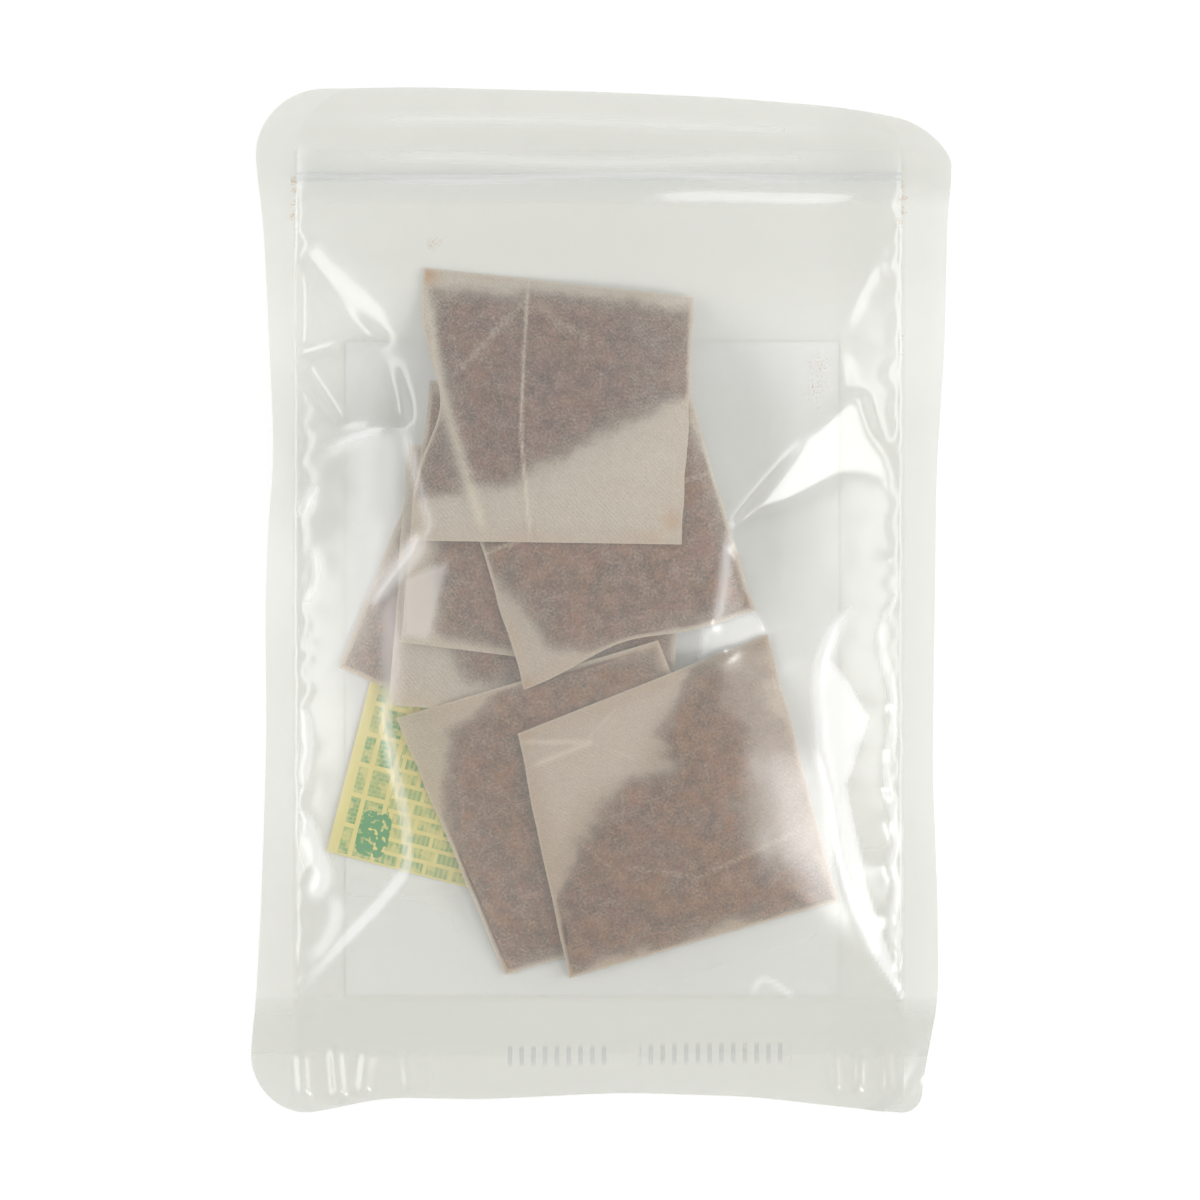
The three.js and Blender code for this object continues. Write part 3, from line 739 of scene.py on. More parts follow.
# Materials
def film_material(settings, look):
    """Milky clear film: mostly see-through, with a pale veil and a glossy skin. Lamps shine through it."""
    material, tree = new_material("clear_film")
    plan = plan_map(tree)
    across, _ = parts_of(tree, plan)
    bars = above(tree, math_node(tree, "SINE", times(tree, across, BAR_WAVE)), 0.35)
    mark = times(tree, point_value(tree, "mark"), times(tree, bars, 0.7))
    dust = point_value(tree, "dust")
    speck = above(tree, plus(tree, noise(tree, plan, 2.2, 3.0, 0.7), times(tree, dust, 0.35)), 0.74)
    dirty = times(tree, speck, above(tree, dust, 0.05))
    tint = mix_colour(tree, times(tree, dirty, 0.8), look.film_tint, look.caught_powder)
    tint = mix_colour(tree, mark, tint, look.bars)
    # White painted along folds and on patches: partly the film's whitening at folds, partly painted
    # highlights
    milky_and_sheen = point_value(tree, "milky_and_sheen")
    tint = mix_colour(tree, times(tree, milky_and_sheen, 9.0, True), tint, look.fold_white_and_sheen)
    cover = larger(tree, point_value(tree, "veil"), times(tree, dirty, 0.5))
    cover = plus(tree, cover, milky_and_sheen, True)
    cover = larger(tree, cover, times(tree, mark, 0.6))
    clear = node(tree, "ShaderNodeBsdfTransparent", Color=look.film_clear)
    haze = node(tree, "ShaderNodeBsdfPrincipled", Roughness=0.7, Specular_IOR_Level=0.0)
    join(tree, tint, haze.inputs["Base Color"])
    body = mix_shaders(tree, cover, clear, haze)
    shine = node(tree, "ShaderNodeBsdfGlossy", Color=(1, 1, 1, 1), Roughness=settings.film_roughness)
    edge = node(tree, "ShaderNodeFresnel", IOR=1.5)
    glossy = mix_shaders(tree, times(tree, edge.outputs[0], 1.4, True), body, shine)
    path = tree.nodes.new("ShaderNodeLightPath")
    lamp = node(tree, "ShaderNodeBsdfTransparent", Color=look.film_shadow)
    show(tree, mix_shaders(tree, path.outputs["Is Shadow Ray"], glossy, lamp))
    return material


def cloth_group(look):
    """Non-woven filter cloth: the colour, cover and relief of its fibres and bond points."""
    tree, given, result = new_group(
        "Filter cloth",
        [("Plan", "NodeSocketVector", (0, 0, 0)), ("Fold", "NodeSocketFloat", 0),
         ("Edge", "NodeSocketFloat", 0), ("Stain", "NodeSocketFloat", 0),
         ("Warm", "NodeSocketFloat", 0), ("Cover", "NodeSocketFloat", 0.3)],
        [("Colour", "NodeSocketColor"), ("Alpha", "NodeSocketFloat"), ("Height", "NodeSocketFloat")],
    )
    names = ("Plan", "Fold", "Edge", "Stain", "Warm", "Cover")
    plan, fold, edge, stain, warm, cover = (given.outputs[name] for name in names)
    across, along = parts_of(tree, plan)
    rising, falling = (
        math_node(tree, "SINE", times(tree, slanted, BOND_WAVE))
        for slanted in (plus(tree, across, along), minus(tree, across, along))
    )
    fibre = noise(tree, plan, 1.5, 3.0, 0.75)

    # Colour: cream cloth, stained by the powder behind it, with spots and pale folds
    cream = mix_colour(tree, noise(tree, plan, 0.12), look.cloth_dark, look.cloth_pale)
    pale = mix_colour(tree, times(tree, warm, warm), cream, look.cloth_warm)
    grain = times(tree, spread(tree, noise(tree, plan, 1.6, 3.0, 0.7), 0.38, 0.62), 0.5)
    mottle = times(tree, spread(tree, noise(tree, plan, 0.22, 3.0, 0.6), 0.36, 0.64), 0.4)
    speckle = plus(tree, plus(tree, grain, mottle), times(tree, rising, 0.08))
    patch = minus(tree, spread(tree, noise(tree, plan, 0.09), 0.38, 0.62), 0.5)
    hue = plus(tree, warm, times(tree, patch, 0.8), True)
    dust = mix_colour(tree, hue, look.stain_cool, look.stain_warm)
    stained = times(tree, plus(tree, times(tree, speckle, 0.85), 0.42), stain, True)
    spotted = mix_colour(tree, edge, mix_colour(tree, stained, pale, dust), look.cloth_spot)
    join(tree, mix_colour(tree, fold, spotted, look.cloth_fold), result.inputs["Colour"])

    # Cover: uneven fibres, thicker at folds and edges
    fuzz = times(tree, minus(tree, spread(tree, fibre, 0.37, 0.63), 0.5), 0.38)
    clots = spread(tree, noise(tree, plan, 0.33, 2.0, 0.55), 0.36, 0.64)
    clots = times(tree, minus(tree, clots, 0.5), 0.19)
    heavy = plus(tree, times(tree, stain, 0.7), 0.3)
    uneven = times(tree, plus(tree, fuzz, clots), heavy)
    cover = plus(tree, plus(tree, cover, uneven), times(tree, rising, 0.035))
    folded = plus(tree, cover, times(tree, fold, 0.45))
    join(tree, plus(tree, folded, times(tree, edge, 0.3), True), result.inputs["Alpha"])
    bonds = times(tree, rising, falling)
    join(tree, plus(tree, times(tree, bonds, 0.3), fibre), result.inputs["Height"])
    return tree


def cloth_material(look):
    values = {"fold": "Fold", "edge": "Edge", "stain": "Stain", "warm": "Warm", "cover": "Cover"}
    return grouped_material("bag_cloth", cloth_group(look), values, 0.12, 0.0001, 0.85, 0.15)


def powder_group(look):
    """Ground dashi: the colour, cover and relief of its grains and lumps."""
    tree, given, result = new_group(
        "Ground dashi",
        [("Plan", "NodeSocketVector", (0, 0, 0)), ("Density", "NodeSocketFloat", 1),
         ("Warm", "NodeSocketFloat", 0)],
        [("Colour", "NodeSocketColor"), ("Alpha", "NodeSocketFloat"), ("Height", "NodeSocketFloat")],
    )
    plan = given.outputs["Plan"]
    grains = spread(tree, noise(tree, plan, 1.3, 3.0, 0.7), 0.36, 0.64)
    lumps = spread(tree, noise(tree, plan, 0.17, 4.0, 0.62), 0.34, 0.66)
    tone = spread(tree, noise(tree, plan, 0.085), 0.36, 0.64)
    warm = plus(tree, given.outputs["Warm"], times(tree, minus(tree, tone, 0.5), 0.9), True)
    light = times(tree, minus(tree, lumps, 0.5), 1.5)
    sparkle = times(tree, minus(tree, grains, 0.5), 1.5)
    uneven = plus(tree, light, sparkle)
    shade = tree.nodes.new("ShaderNodeHueSaturation")
    join(tree, larger(tree, plus(tree, uneven, 1.0), 0.12), shade.inputs["Value"])
    join(tree, mix_colour(tree, warm, look.powder_cool, look.powder_warm), shade.inputs["Color"])
    join(tree, shade.outputs[0], result.inputs["Colour"])
    scatter = plus(tree, given.outputs["Density"], times(tree, uneven, 0.14))
    join(tree, times(tree, minus(tree, scatter, 0.1), 1.2, True), result.inputs["Alpha"])
    join(tree, grains, result.inputs["Height"])
    return tree


def powder_material(look):
    values = {"packed": "Density", "warm": "Warm"}
    return grouped_material("ground_dashi", powder_group(look), values, 0.6, 0.0004, 0.95, 0.1)


def paper_material(look):
    material, tree = new_material("white_paper")
    show(tree, node(tree, "ShaderNodeBsdfPrincipled", Base_Color=look.paper, Roughness=0.7))
    return material


def strip_material(look):
    """Clear press-close strip, faintly blue where its rib sits in its groove."""
    material, tree = new_material("clear_strip")
    body = node(tree, "ShaderNodeBsdfPrincipled", Roughness=0.25)
    jaw = point_value(tree, "jaw")
    join(tree, mix_colour(tree, jaw, look.strip_clear, look.strip_blue), body.inputs["Base Color"])
    join(tree, plus(tree, times(tree, jaw, 0.05), 0.012), body.inputs["Alpha"])
    show(tree, body)
    return material


def brick_mask(tree, plan, width, height, gap, offset):
    """A pattern of plain blocks with gaps: 1 on a block and 0 between."""
    made = tree.nodes.new("ShaderNodeTexBrick")
    made.offset = offset
    for key, value in (("Color1", 1.0), ("Color2", 0.6), ("Mortar", 0.0)):
        made.inputs[key].default_value = (value, value, value, 1)
    for key, value in (("Scale", 1.0), ("Mortar Size", gap), ("Brick Width", width), ("Row Height", height)):
        made.inputs[key].default_value = value
    join(tree, plan, made.inputs["Vector"])
    return made.outputs["Color"]


def absorber_material(look):
    """Cream packet with plain green blocks and bars, and one blotched block."""
    material, tree = new_material("packet_film")
    plan = plan_map(tree)
    across, along = parts_of(tree, plan)
    blocks = brick_mask(tree, plan, 5.6, 7.6, 0.6, 0.0)
    strokes = brick_mask(tree, plan, 1.7, 1.1, 0.22, 0.5)
    rows = brick_mask(tree, plan, 6.5, 3.4, 0.5, 0.3)
    bars = brick_mask(tree, plan, 1.2, 3.4, 0.3, 0.0)
    left = times(tree, blocks, plus(tree, times(tree, strokes, 0.35), 0.62))
    right = times(tree, rows, plus(tree, times(tree, bars, 0.4), 0.5))
    ink = mix_colour(tree, above(tree, across, PRINT_SPLIT), left, right)
    ink = times(tree, ink, above(tree, across, PRINT_MARGIN))
    worn = plus(tree, spread(tree, noise(tree, plan, 0.3, 2.0, 0.6), 0.4, 0.6), 0.35, True)
    ink = times(tree, ink, worn)
    sides = []
    for place, middle, share in ((across, 10.0, 0.26), (along, 7.0, 0.18)):
        away = math_node(tree, "ABSOLUTE", times(tree, minus(tree, place, middle), share))
        sides.append(math_node(tree, "POWER", away, 4.0))
    block = math_node(tree, "LESS_THAN", plus(tree, *sides), 1.0)
    blotched = times(tree, block, above(tree, noise(tree, plan, 0.7, 1.0), 0.42))
    tint = mix_colour(tree, larger(tree, ink, blotched), look.packet_yellow, look.packet_green)
    body = node(tree, "ShaderNodeBsdfPrincipled", Roughness=0.4)
    join(tree, tint, body.inputs["Base Color"])
    show(tree, body)
    return material


# Pieces
def film_plan(columns, rows):
    """Places of a film's grid: across and along the flat film, and where they lie."""
    across = np.linspace(-1, 1, columns + 1)
    ends = np.array([0.04, 0.16, 0.35, 0.6])
    middle = np.linspace(-HALF_HEIGHT + 1, HALF_HEIGHT - 1, rows)
    flat_y = np.concatenate([
        [-HALF_HEIGHT], -HALF_HEIGHT + ends, middle, HALF_HEIGHT - ends[::-1], [HALF_HEIGHT],
    ])
    s, fy = np.meshgrid(across, flat_y)
    fx = s * HALF_WIDTH

    def smoothed(stations, key, half, count, place):
        """An edge of the pouch, read along axis 0 (across) or 1 (along) and smoothed."""
        order = np.argsort(stations[:, key])
        fine = np.linspace(-half, half, count)
        values = np.interp(fine, stations[order, key], stations[order, 1 - key])
        return np.interp(place, fine, soften(values[None, :], 0.01, 9)[0])

    def narrowed(y, radius_top, radius_bottom):
        radius = np.where(y > 0, radius_top, radius_bottom)
        past = np.clip(np.abs(y) - (HALF_HEIGHT - radius), 0, radius)
        return radius - np.sqrt(radius ** 2 - past ** 2)

    left = smoothed(LEFT_EDGE, 1, HALF_HEIGHT, 501, fy)
    right = smoothed(RIGHT_EDGE, 1, HALF_HEIGHT, 501, fy)
    left_now = left + narrowed(fy, CORNERS["top_left"], CORNERS["bottom_left"])
    right_now = right - narrowed(fy, CORNERS["top_right"], CORNERS["bottom_right"])
    seal_left = SEAL_LEFT * left_now / left
    seal_right = SEAL_RIGHT * right_now / right
    seal_left = np.maximum(seal_left, left_now + 2)
    seal_right = np.minimum(seal_right, right_now - 2)
    margin = np.clip((np.abs(s) - SEAL_SHARE) / (1 - SEAL_SHARE), 0, 1)
    inner = (np.clip(s, -SEAL_SHARE, SEAL_SHARE) / SEAL_SHARE + 1) / 2
    x = seal_left + inner * (seal_right - seal_left)
    x = np.where(s < -SEAL_SHARE, seal_left + margin * (left_now - seal_left), x)
    x = np.where(s > SEAL_SHARE, seal_right + margin * (right_now - seal_right), x)
    start = ZIP_TOP_Y - (ZIP_TOP_Y - ZIP_BOTTOM_Y) * np.clip((np.abs(fx) - 71) / 14, 0, 1)
    headed = np.clip((fy - start) / (HALF_HEIGHT - start), 0, 1)
    skirted = np.clip((SKIRT_Y - fy) / (HALF_HEIGHT + SKIRT_Y), 0, 1)
    top = smoothed(TOP_EDGE, 0, HALF_WIDTH, 341, x)
    bottom = smoothed(BOTTOM_EDGE, 0, HALF_WIDTH, 341, x)
    y = fy - headed * (HALF_HEIGHT - top) + skirted * (bottom + HALF_HEIGHT)
    return s, fy, x, y


def drape(z, held, obstacle, puff, rounds=800):
    """Settles a tight film over what it covers, slightly puffed, with its held points kept."""
    start = z
    for _ in range(rounds):
        mean = z.copy()
        beside = z[:-2, 1:-1] + z[2:, 1:-1] + z[1:-1, :-2] + z[1:-1, 2:]
        mean[1:-1, 1:-1] = beside / 8 + z[1:-1, 1:-1] / 2 + puff
        z = np.where(held, start, np.maximum(mean, obstacle))
    return z


def crease(x, y, points, width):
    """A ridge of height 1 along a line, and a wider mark along it, where white is painted on the fold."""
    line = smooth_line(places(points)) if len(points) > 2 else places(points)
    d, share = along_line(line, x, y)
    taper = smoothstep(0, 0.25, share) * smoothstep(1, 0.75, share)
    return taper * np.exp(-(d / width) ** 2), taper * np.exp(-(d / (1.2 * width + 0.3)) ** 2)


def film_veil(s, fy, x, y, contents, haze):
    """How hazy a film shows at each point, with painted shade at its lower end and a painted highlight in
    its left seal.
    """
    # Milkier below the bags, which darkens the lower end as painted shade of the pile; milkier at the right,
    # clearer above the bags and on them
    shade_low_end = smoothstep(-40, -75, y)
    right_side = smoothstep(50, 62, x)
    above_bags = smoothstep(42, 60, y) * smoothstep(85, 66, y)
    veil = haze + 0.11 * shade_low_end + 0.04 * right_side - 0.09 * above_bags
    veil = veil + (VEIL_ON_BAGS - veil) * contents

    # A little milkier in the bottom weld and the strip, clearer in the side seals
    band = smoothstep(BOTTOM_SEAL_Y + 0.8, BOTTOM_SEAL_Y - 0.4, fy)
    band = band * smoothstep(SKIRT_Y - 0.8, SKIRT_Y + 0.4, fy)
    strip = smoothstep(ZIP_BOTTOM_Y - 0.4, ZIP_BOTTOM_Y + 0.4, fy)
    strip = strip * smoothstep(ZIP_TOP_Y + 0.4, ZIP_TOP_Y - 0.4, fy)
    veil = veil + 0.07 * band + 0.01 * strip
    sealed = smoothstep(SEAL_SHARE - 0.006, SEAL_SHARE + 0.006, np.abs(s))
    open_side = smoothstep(-103, -95, fy) * smoothstep(104, 94, fy)
    clear = 0.12 + np.where(x > 0, 0.4, 0.2) * open_side
    # A clearer stretch of the left seal about y = 8 mm shows more of the bright floor: a painted highlight
    # in place of a reflection
    clear = clear + 0.35 * np.exp(-((y - 8) / 16) ** 2) * (x < 0)
    return veil * (1 - clear * sealed)


def film_dust(fy, x, y):
    """Where powder is caught between the films."""
    dust = np.zeros(x.shape)
    for across, down, size, strength in DUST:
        dust = np.maximum(dust, strength * spot(x, y, across, down, size))
    line = np.exp(-((x - SEAL_LEFT) / 0.5) ** 2) + np.exp(-((x - SEAL_RIGHT) / 0.5) ** 2)
    return np.maximum(dust, 0.45 * line * (fy < ZIP_TOP_Y) * (fy > 55))


def side_gathers(x, y, rng):
    """Gathers of height 1 that run from the side seals into the film."""
    gathers = np.zeros(x.shape)
    for seal, way in ((SEAL_LEFT, 1), (SEAL_RIGHT, -1)):
        here = GATHER_START
        while here < GATHER_END:
            reach = rng.uniform(*GATHER_REACH)
            slant = rng.uniform(*GATHER_SLANT)
            halfway = (seal + way * reach * 0.5, here + 0.3 * slant)
            line = np.array([(seal, here), halfway, (seal + way * reach, here + slant)])
            d, share = along_line(line, x, y)
            ridge = np.clip(share * 8, 0.25, 1) * np.exp(-(d / (1.1 + 1.6 * share)) ** 2)
            gathers += rng.uniform(*GATHER_STRENGTH) * (1 - share) * ridge
            here += rng.uniform(*GATHER_STEP)
    return gathers


def seal_folds(x, y, rng):
    """Wavy folds with puckers where the film leaves the side seals."""
    folds = np.zeros(x.shape)
    for seal, way in ((SEAL_LEFT, 1), (SEAL_RIGHT, -1)):
        here = SEAL_FOLD_START
        while here < SEAL_FOLD_END:
            half = rng.uniform(*SEAL_FOLD_HALF)
            bulge = rng.uniform(*SEAL_FOLD_BULGE)
            away = np.abs(y - here - half)
            share = np.clip(away / half, 0, 1)
            arch = np.cos(share * math.pi / 2) ** 2 * (share < 1)
            fold = seal + way * (0.9 + bulge * arch)
            height = rng.uniform(*SEAL_FOLD_HEIGHT)
            folds += height * np.exp(-((x - fold) / 0.9) ** 2) * (away <= half)
            here += 2 * half
    return folds


def fold_film(z, x, y, welded):
    """The film with its creases, flat patches and painted highlight patches, and how white it is painted
    there.
    """
    milky_and_sheen = np.zeros(x.shape)
    # The white of each fold is partly the film's whitening there and partly a painted highlight
    for points, width, height, white_and_sheen in CREASES:
        ridge, mark = crease(x, y, points, width)
        z = z + height * ridge
        milky_and_sheen = np.maximum(milky_and_sheen, white_and_sheen * mark)
    for outline, across, along, soft in PATCHES:
        polygon = places(outline)
        weight = smoothstep(-soft, 1.4 * soft, inside(polygon, x, y)) * ~welded
        cx, cy = polygon.mean(0)
        centre = z[np.unravel_index(np.argmin((x - cx) ** 2 + (y - cy) ** 2), x.shape)]
        plane = centre + across * (x - cx) + along * (y - cy)
        z = z + weight * (plane - z)
    # White patches: the film drawn smooth and painted white as highlights
    for outline, soft, white_and_sheen in SHEEN_PATCHES:
        weight = smoothstep(-soft, soft, inside(places(outline), x, y))
        z = z + weight * (soften(z, 4, 4) - z)
        milky_and_sheen = np.maximum(milky_and_sheen, white_and_sheen * weight)
    return z, milky_and_sheen


def make_film(name, x, y, z, material, values):
    """A film from the places and heights of its grid."""
    points = np.stack([x.ravel(), y.ravel(), z.ravel()], 1)
    return new_piece(name, points, grid_faces(*x.shape), material, points[:, :2], values)


def printed(x, y):
    """Where a faint row of plain grey bars stands on the skirt."""
    mark = np.zeros(x.shape)
    for first, last in BAR_ROWS:
        (x0, middle), (x1, _) = at(first, BAR_DOWN), at(last, BAR_DOWN)
        here = smoothstep(x0 - 0.5, x0 + 0.5, x) * smoothstep(x1 + 0.5, x1 - 0.5, x)
        mark = np.maximum(mark, here * smoothstep(2.6, 1.7, np.abs(y - middle - 0.012 * x)))
    return mark


# Operators, one for each piece or group of like pieces
class DASHI_OT_bags(bpy.types.Operator):
    """Builds the filter bags and the powder in them, from the lowest to the highest"""

    bl_idname = "dashi.bags"
    bl_label = "Build filter bags"

    def execute(self, context):
        cover = context.scene.dashi_pouch.cloth_cover
        cloth = cloth_material(context.scene.dashi_look)
        powder = powder_material(context.scene.dashi_look)
        for index, bag in enumerate(BAGS):
            build_bag(index, bag, cloth, powder, cover)
        return {"FINISHED"}


def bag_folds(bag, x, y):
    """Height and paleness of a bag's folds."""
    rise = np.zeros(x.shape)
    pale = np.zeros(x.shape)
    for name, points, width, height, strength in FOLDS:
        if name == bag["node"]:
            d, share = along_line(places(points), x, y)
            taper = np.clip(10 * share + 0.3, 0, 1) * np.clip(10 * (1 - share) + 0.3, 0, 1)
            rise = rise + height * taper * np.exp(-(d / (2 * width)) ** 2)
            pale = np.maximum(pale, strength * taper * np.exp(-(d / width) ** 2))
    return rise, pale


def bag_powder(index, bag, x, y, border):
    """How densely powder lies in a bag at each point."""
    ragged = 1.2 * value_noise(x, y, 8.0, 20 + index) + 0.6 * value_noise(x, y, 2.5, 30 + index)
    ragged = ragged * bag.get("ragged", 1.0)
    density = smoothstep(-4, 5.5, inside(places(bag["powder"]), x, y) + ragged)
    for share, outline in bag.get("thin", []):
        density = np.maximum(density, share * smoothstep(-3, 4, inside(places(outline), x, y) + ragged))
    return density * smoothstep(0.2, 1.4, border)


def bag_edge(index, bag, x, y, border):
    """Where a bag's cloth is tinted at its edges and spots."""
    edge = 0.12 * np.exp(-(border / 3) ** 2) * (1 + value_noise(x, y, 9.0, 50 + index))
    for name, across, down, size, strength in SPOTS:
        if name == bag["node"]:
            edge = np.maximum(edge, strength * spot(x, y, across, down, size))
    return edge


def build_bag(index, bag, cloth, powder, cover):
    """One filter bag, laid on the pile, with its powder."""
    cells = bag["grid"]
    corners = places(bag["corners"])
    side = np.hypot(*(corners[1] - corners[0]))
    u, v, x, y, border = corner_grid(corners, cells)
    border = border * side
    x = x + bag.get("pinch", 0.0) * np.exp(-((v - 0.5) / 0.2) ** 2) * np.clip(1 - u / 0.35, 0, 1)
    y = y + bag.get("bow", 0.0) * np.exp(-((u - 0.42) / 0.24) ** 2) * np.clip(1 - v / 0.3, 0, 1)
    rough = 0.25 * value_noise(u * side, v * side, 6.0, 40 + index)
    x = x + rough * (np.minimum(u, 1 - u) < 0.02)

    # Upper and lower cloth, laid on the pile
    tree = tree_of(bag["node"] + "_bag")
    blur, under_blur = BAG_BLUR * cells / side, UNDER_BLUR * cells / side
    upper = soften(heights(tree, x, y, True), blur, blur)
    lower = soften(heights(tree, x, y, False), blur, blur)
    lower = np.maximum(lower, pile.under(x, y) + BAG_GAP)
    lower = np.maximum(lower, soften(lower, under_blur, under_blur))
    rise, fold = bag_folds(bag, x, y)
    upper = upper + rise
    upper = upper + 0.22 * value_noise(x, y, 7.0, 60 + index) + 0.1 * value_noise(x, y, 2.5, 80 + index)
    upper = lower + CLOTH + np.maximum(upper - lower - CLOTH, LEAST_FILL) * smoothstep(0, HEM, border)
    pile.add(x, y, upper)

    density = bag_powder(index, bag, x, y, border)
    edge = bag_edge(index, bag, x, y, border)
    fold = np.maximum(fold, 0.55 * np.exp(-(border / 0.5) ** 2))
    middle = (upper + lower) / 2
    rim = border < RIM
    below = ~rim.ravel()
    points, faces = pad_mesh(x, y, np.where(rim, middle, upper), lower, rim)
    flat = np.stack([u.ravel() * side, v.ravel() * side], 1)
    uv = np.concatenate([flat, flat[below] + 200])
    values = {
        "fold": np.concatenate([fold.ravel(), 0 * fold.ravel()[below]]),
        "edge": np.concatenate([edge.ravel(), edge.ravel()[below]]),
        "stain": np.concatenate([density.ravel(), 0 * density.ravel()[below]]),
        "warm": np.full(len(points), bag["warm"]),
        "cover": np.concatenate([np.full(x.size, cover), np.full(below.sum(), UNDER_COVER)]),
    }
    piece = new_piece(bag["node"] + "_cloth", points, faces, cloth, uv, values, rim=rim.ravel())
    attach(piece, "root")
    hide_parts(bag["node"] + "_bag")
    build_heap(index, bag, powder, np.stack([x, y, upper, lower, middle]), density, flat)


def build_heap(index, bag, powder, surfaces, density, flat):
    """Powder: a closed heap where there is some, thinning to nothing at its edge."""
    x, y, upper, lower, middle = surfaces
    kept = density > LEAST_POWDER
    whole = kept[:-1, :-1] & kept[1:, :-1] & kept[:-1, 1:] & kept[1:, 1:]
    quads = grid_faces(*x.shape)[whole.ravel()]
    used = np.zeros(x.size, int)
    np.add.at(used, quads.ravel(), 1)
    filled = used > 0
    shared = used < 4
    inner = filled & ~shared
    full = smoothstep(0.0, 0.1, density)
    heap_top = (middle + (upper - HEAP_GAP - middle) * full).ravel()
    heap_low = (middle + (lower + HEAP_GAP - middle) * full).ravel()
    heap_top = np.where(shared, middle.ravel(), heap_top)
    number = np.full(x.size, -1)
    number[filled] = np.arange(filled.sum())
    lower_number = number.copy()
    lower_number[inner] = filled.sum() + np.arange(inner.sum())
    plan = np.stack([x.ravel(), y.ravel()], 1)
    points = np.concatenate([
        np.column_stack([plan[filled], heap_top[filled]]),
        np.column_stack([plan[inner], heap_low[inner]]),
    ])
    faces = np.concatenate([number[quads], lower_number[quads][:, ::-1]])
    uv = np.concatenate([flat[filled] + 17 * index, flat[inner] + 300])
    deep = density.ravel()
    values = {
        "packed": np.concatenate([deep[filled], deep[inner]]),
        "warm": np.full(len(points), bag["warm"]),
    }
    piece = new_piece(bag["node"] + "_heap", points, faces, powder, uv, values)
    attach(piece, "root")
    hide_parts(bag["node"] + "_powder")


class DASHI_OT_absorber(bpy.types.Operator):
    """Builds the oxygen absorber packet on the front film"""

    bl_idname = "dashi.absorber"
    bl_label = "Build absorber"

    def execute(self, context):
        u, v, x, y, border = corner_grid(places(ABSORBER_CORNERS), ABSORBER_CELLS)
        rim = border < RIM
        tree = tree_of("absorber")
        upper = soften(heights(tree, x, y, True), 3, 3) + 0.15 * value_noise(x, y, 5.0, 11)
        half = ABSORBER_CELLS // 2
        middle = slice(half, half + 1)
        lower = np.full(x.shape, heights(tree, x[middle, middle], y[middle, middle], False)[0, 0])
        upper = np.maximum(upper, lower + 0.3)
        upper = np.where(rim, lower + 0.1, upper)
        pile.add(x, y, upper)
        points, faces = pad_mesh(x, y, upper, lower, rim)
        uv = np.stack([u.ravel() * ABSORBER_WIDTH, v.ravel() * ABSORBER_HEIGHT], 1)
        uv = np.concatenate([uv, uv[~rim.ravel()]])
        material = absorber_material(context.scene.dashi_look)
        piece = new_piece("absorber_packet", points, faces, material, uv, rim=rim.ravel())
        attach(piece, "root")
        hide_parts("absorber")
        return {"FINISHED"}


class DASHI_OT_label(bpy.types.Operator):
    """Builds the paper label under the front film"""

    bl_idname = "dashi.label"
    bl_label = "Build label"

    def execute(self, context):
        low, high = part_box("label")
        x0, y0, z0 = (c / MM for c in low)
        x1, y1, z1 = (c / MM for c in high)
        columns, rows = 12, 16
        x, y = np.meshgrid(np.linspace(x0, x1, columns + 1), np.linspace(y0, y1, rows + 1))
        points = np.stack([x.ravel(), y.ravel(), np.full(x.size, (z0 + z1) / 2)], 1)
        paper = paper_material(context.scene.dashi_look)
        piece = new_piece("label_sheet", points, grid_faces(rows + 1, columns + 1), paper)
        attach(piece, "root")
        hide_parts("label")
        return {"FINISHED"}


class DASHI_OT_strip(bpy.types.Operator):
    """Builds the two halves of the press-close strip"""

    bl_idname = "dashi.strip"
    bl_label = "Build press-close strip"

    def execute(self, context):
        material = strip_material(context.scene.dashi_look)
        for name in ("zip_groove", "zip_rib"):
            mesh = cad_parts[name].data
            points = np.array([v.co for v in mesh.vertices]) / MM
            low, high = points.min(0), points.max(0)
            share = (points[:, 0] - low[0]) / (high[0] - low[0])
            points[:, 0] = SEAL_LEFT + 0.2 + share * (SEAL_RIGHT - SEAL_LEFT - 0.4)
            pressed = smoothstep(0.03, 0.0, np.minimum(share, 1 - share))
            points[:, 2] += pressed * (ZIP_CREST - points[:, 2]) * 0.9
            jaw = smoothstep(1.9, 1.3, np.abs(points[:, 1] - (low[1] + high[1]) / 2))
            faces = [tuple(p.vertices) for p in mesh.polygons]
            piece = new_piece(name + "_strip", points, faces, material, values={"jaw": jaw}, smooth=False)
            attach(piece, "root")
            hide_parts(name)
        return {"FINISHED"}


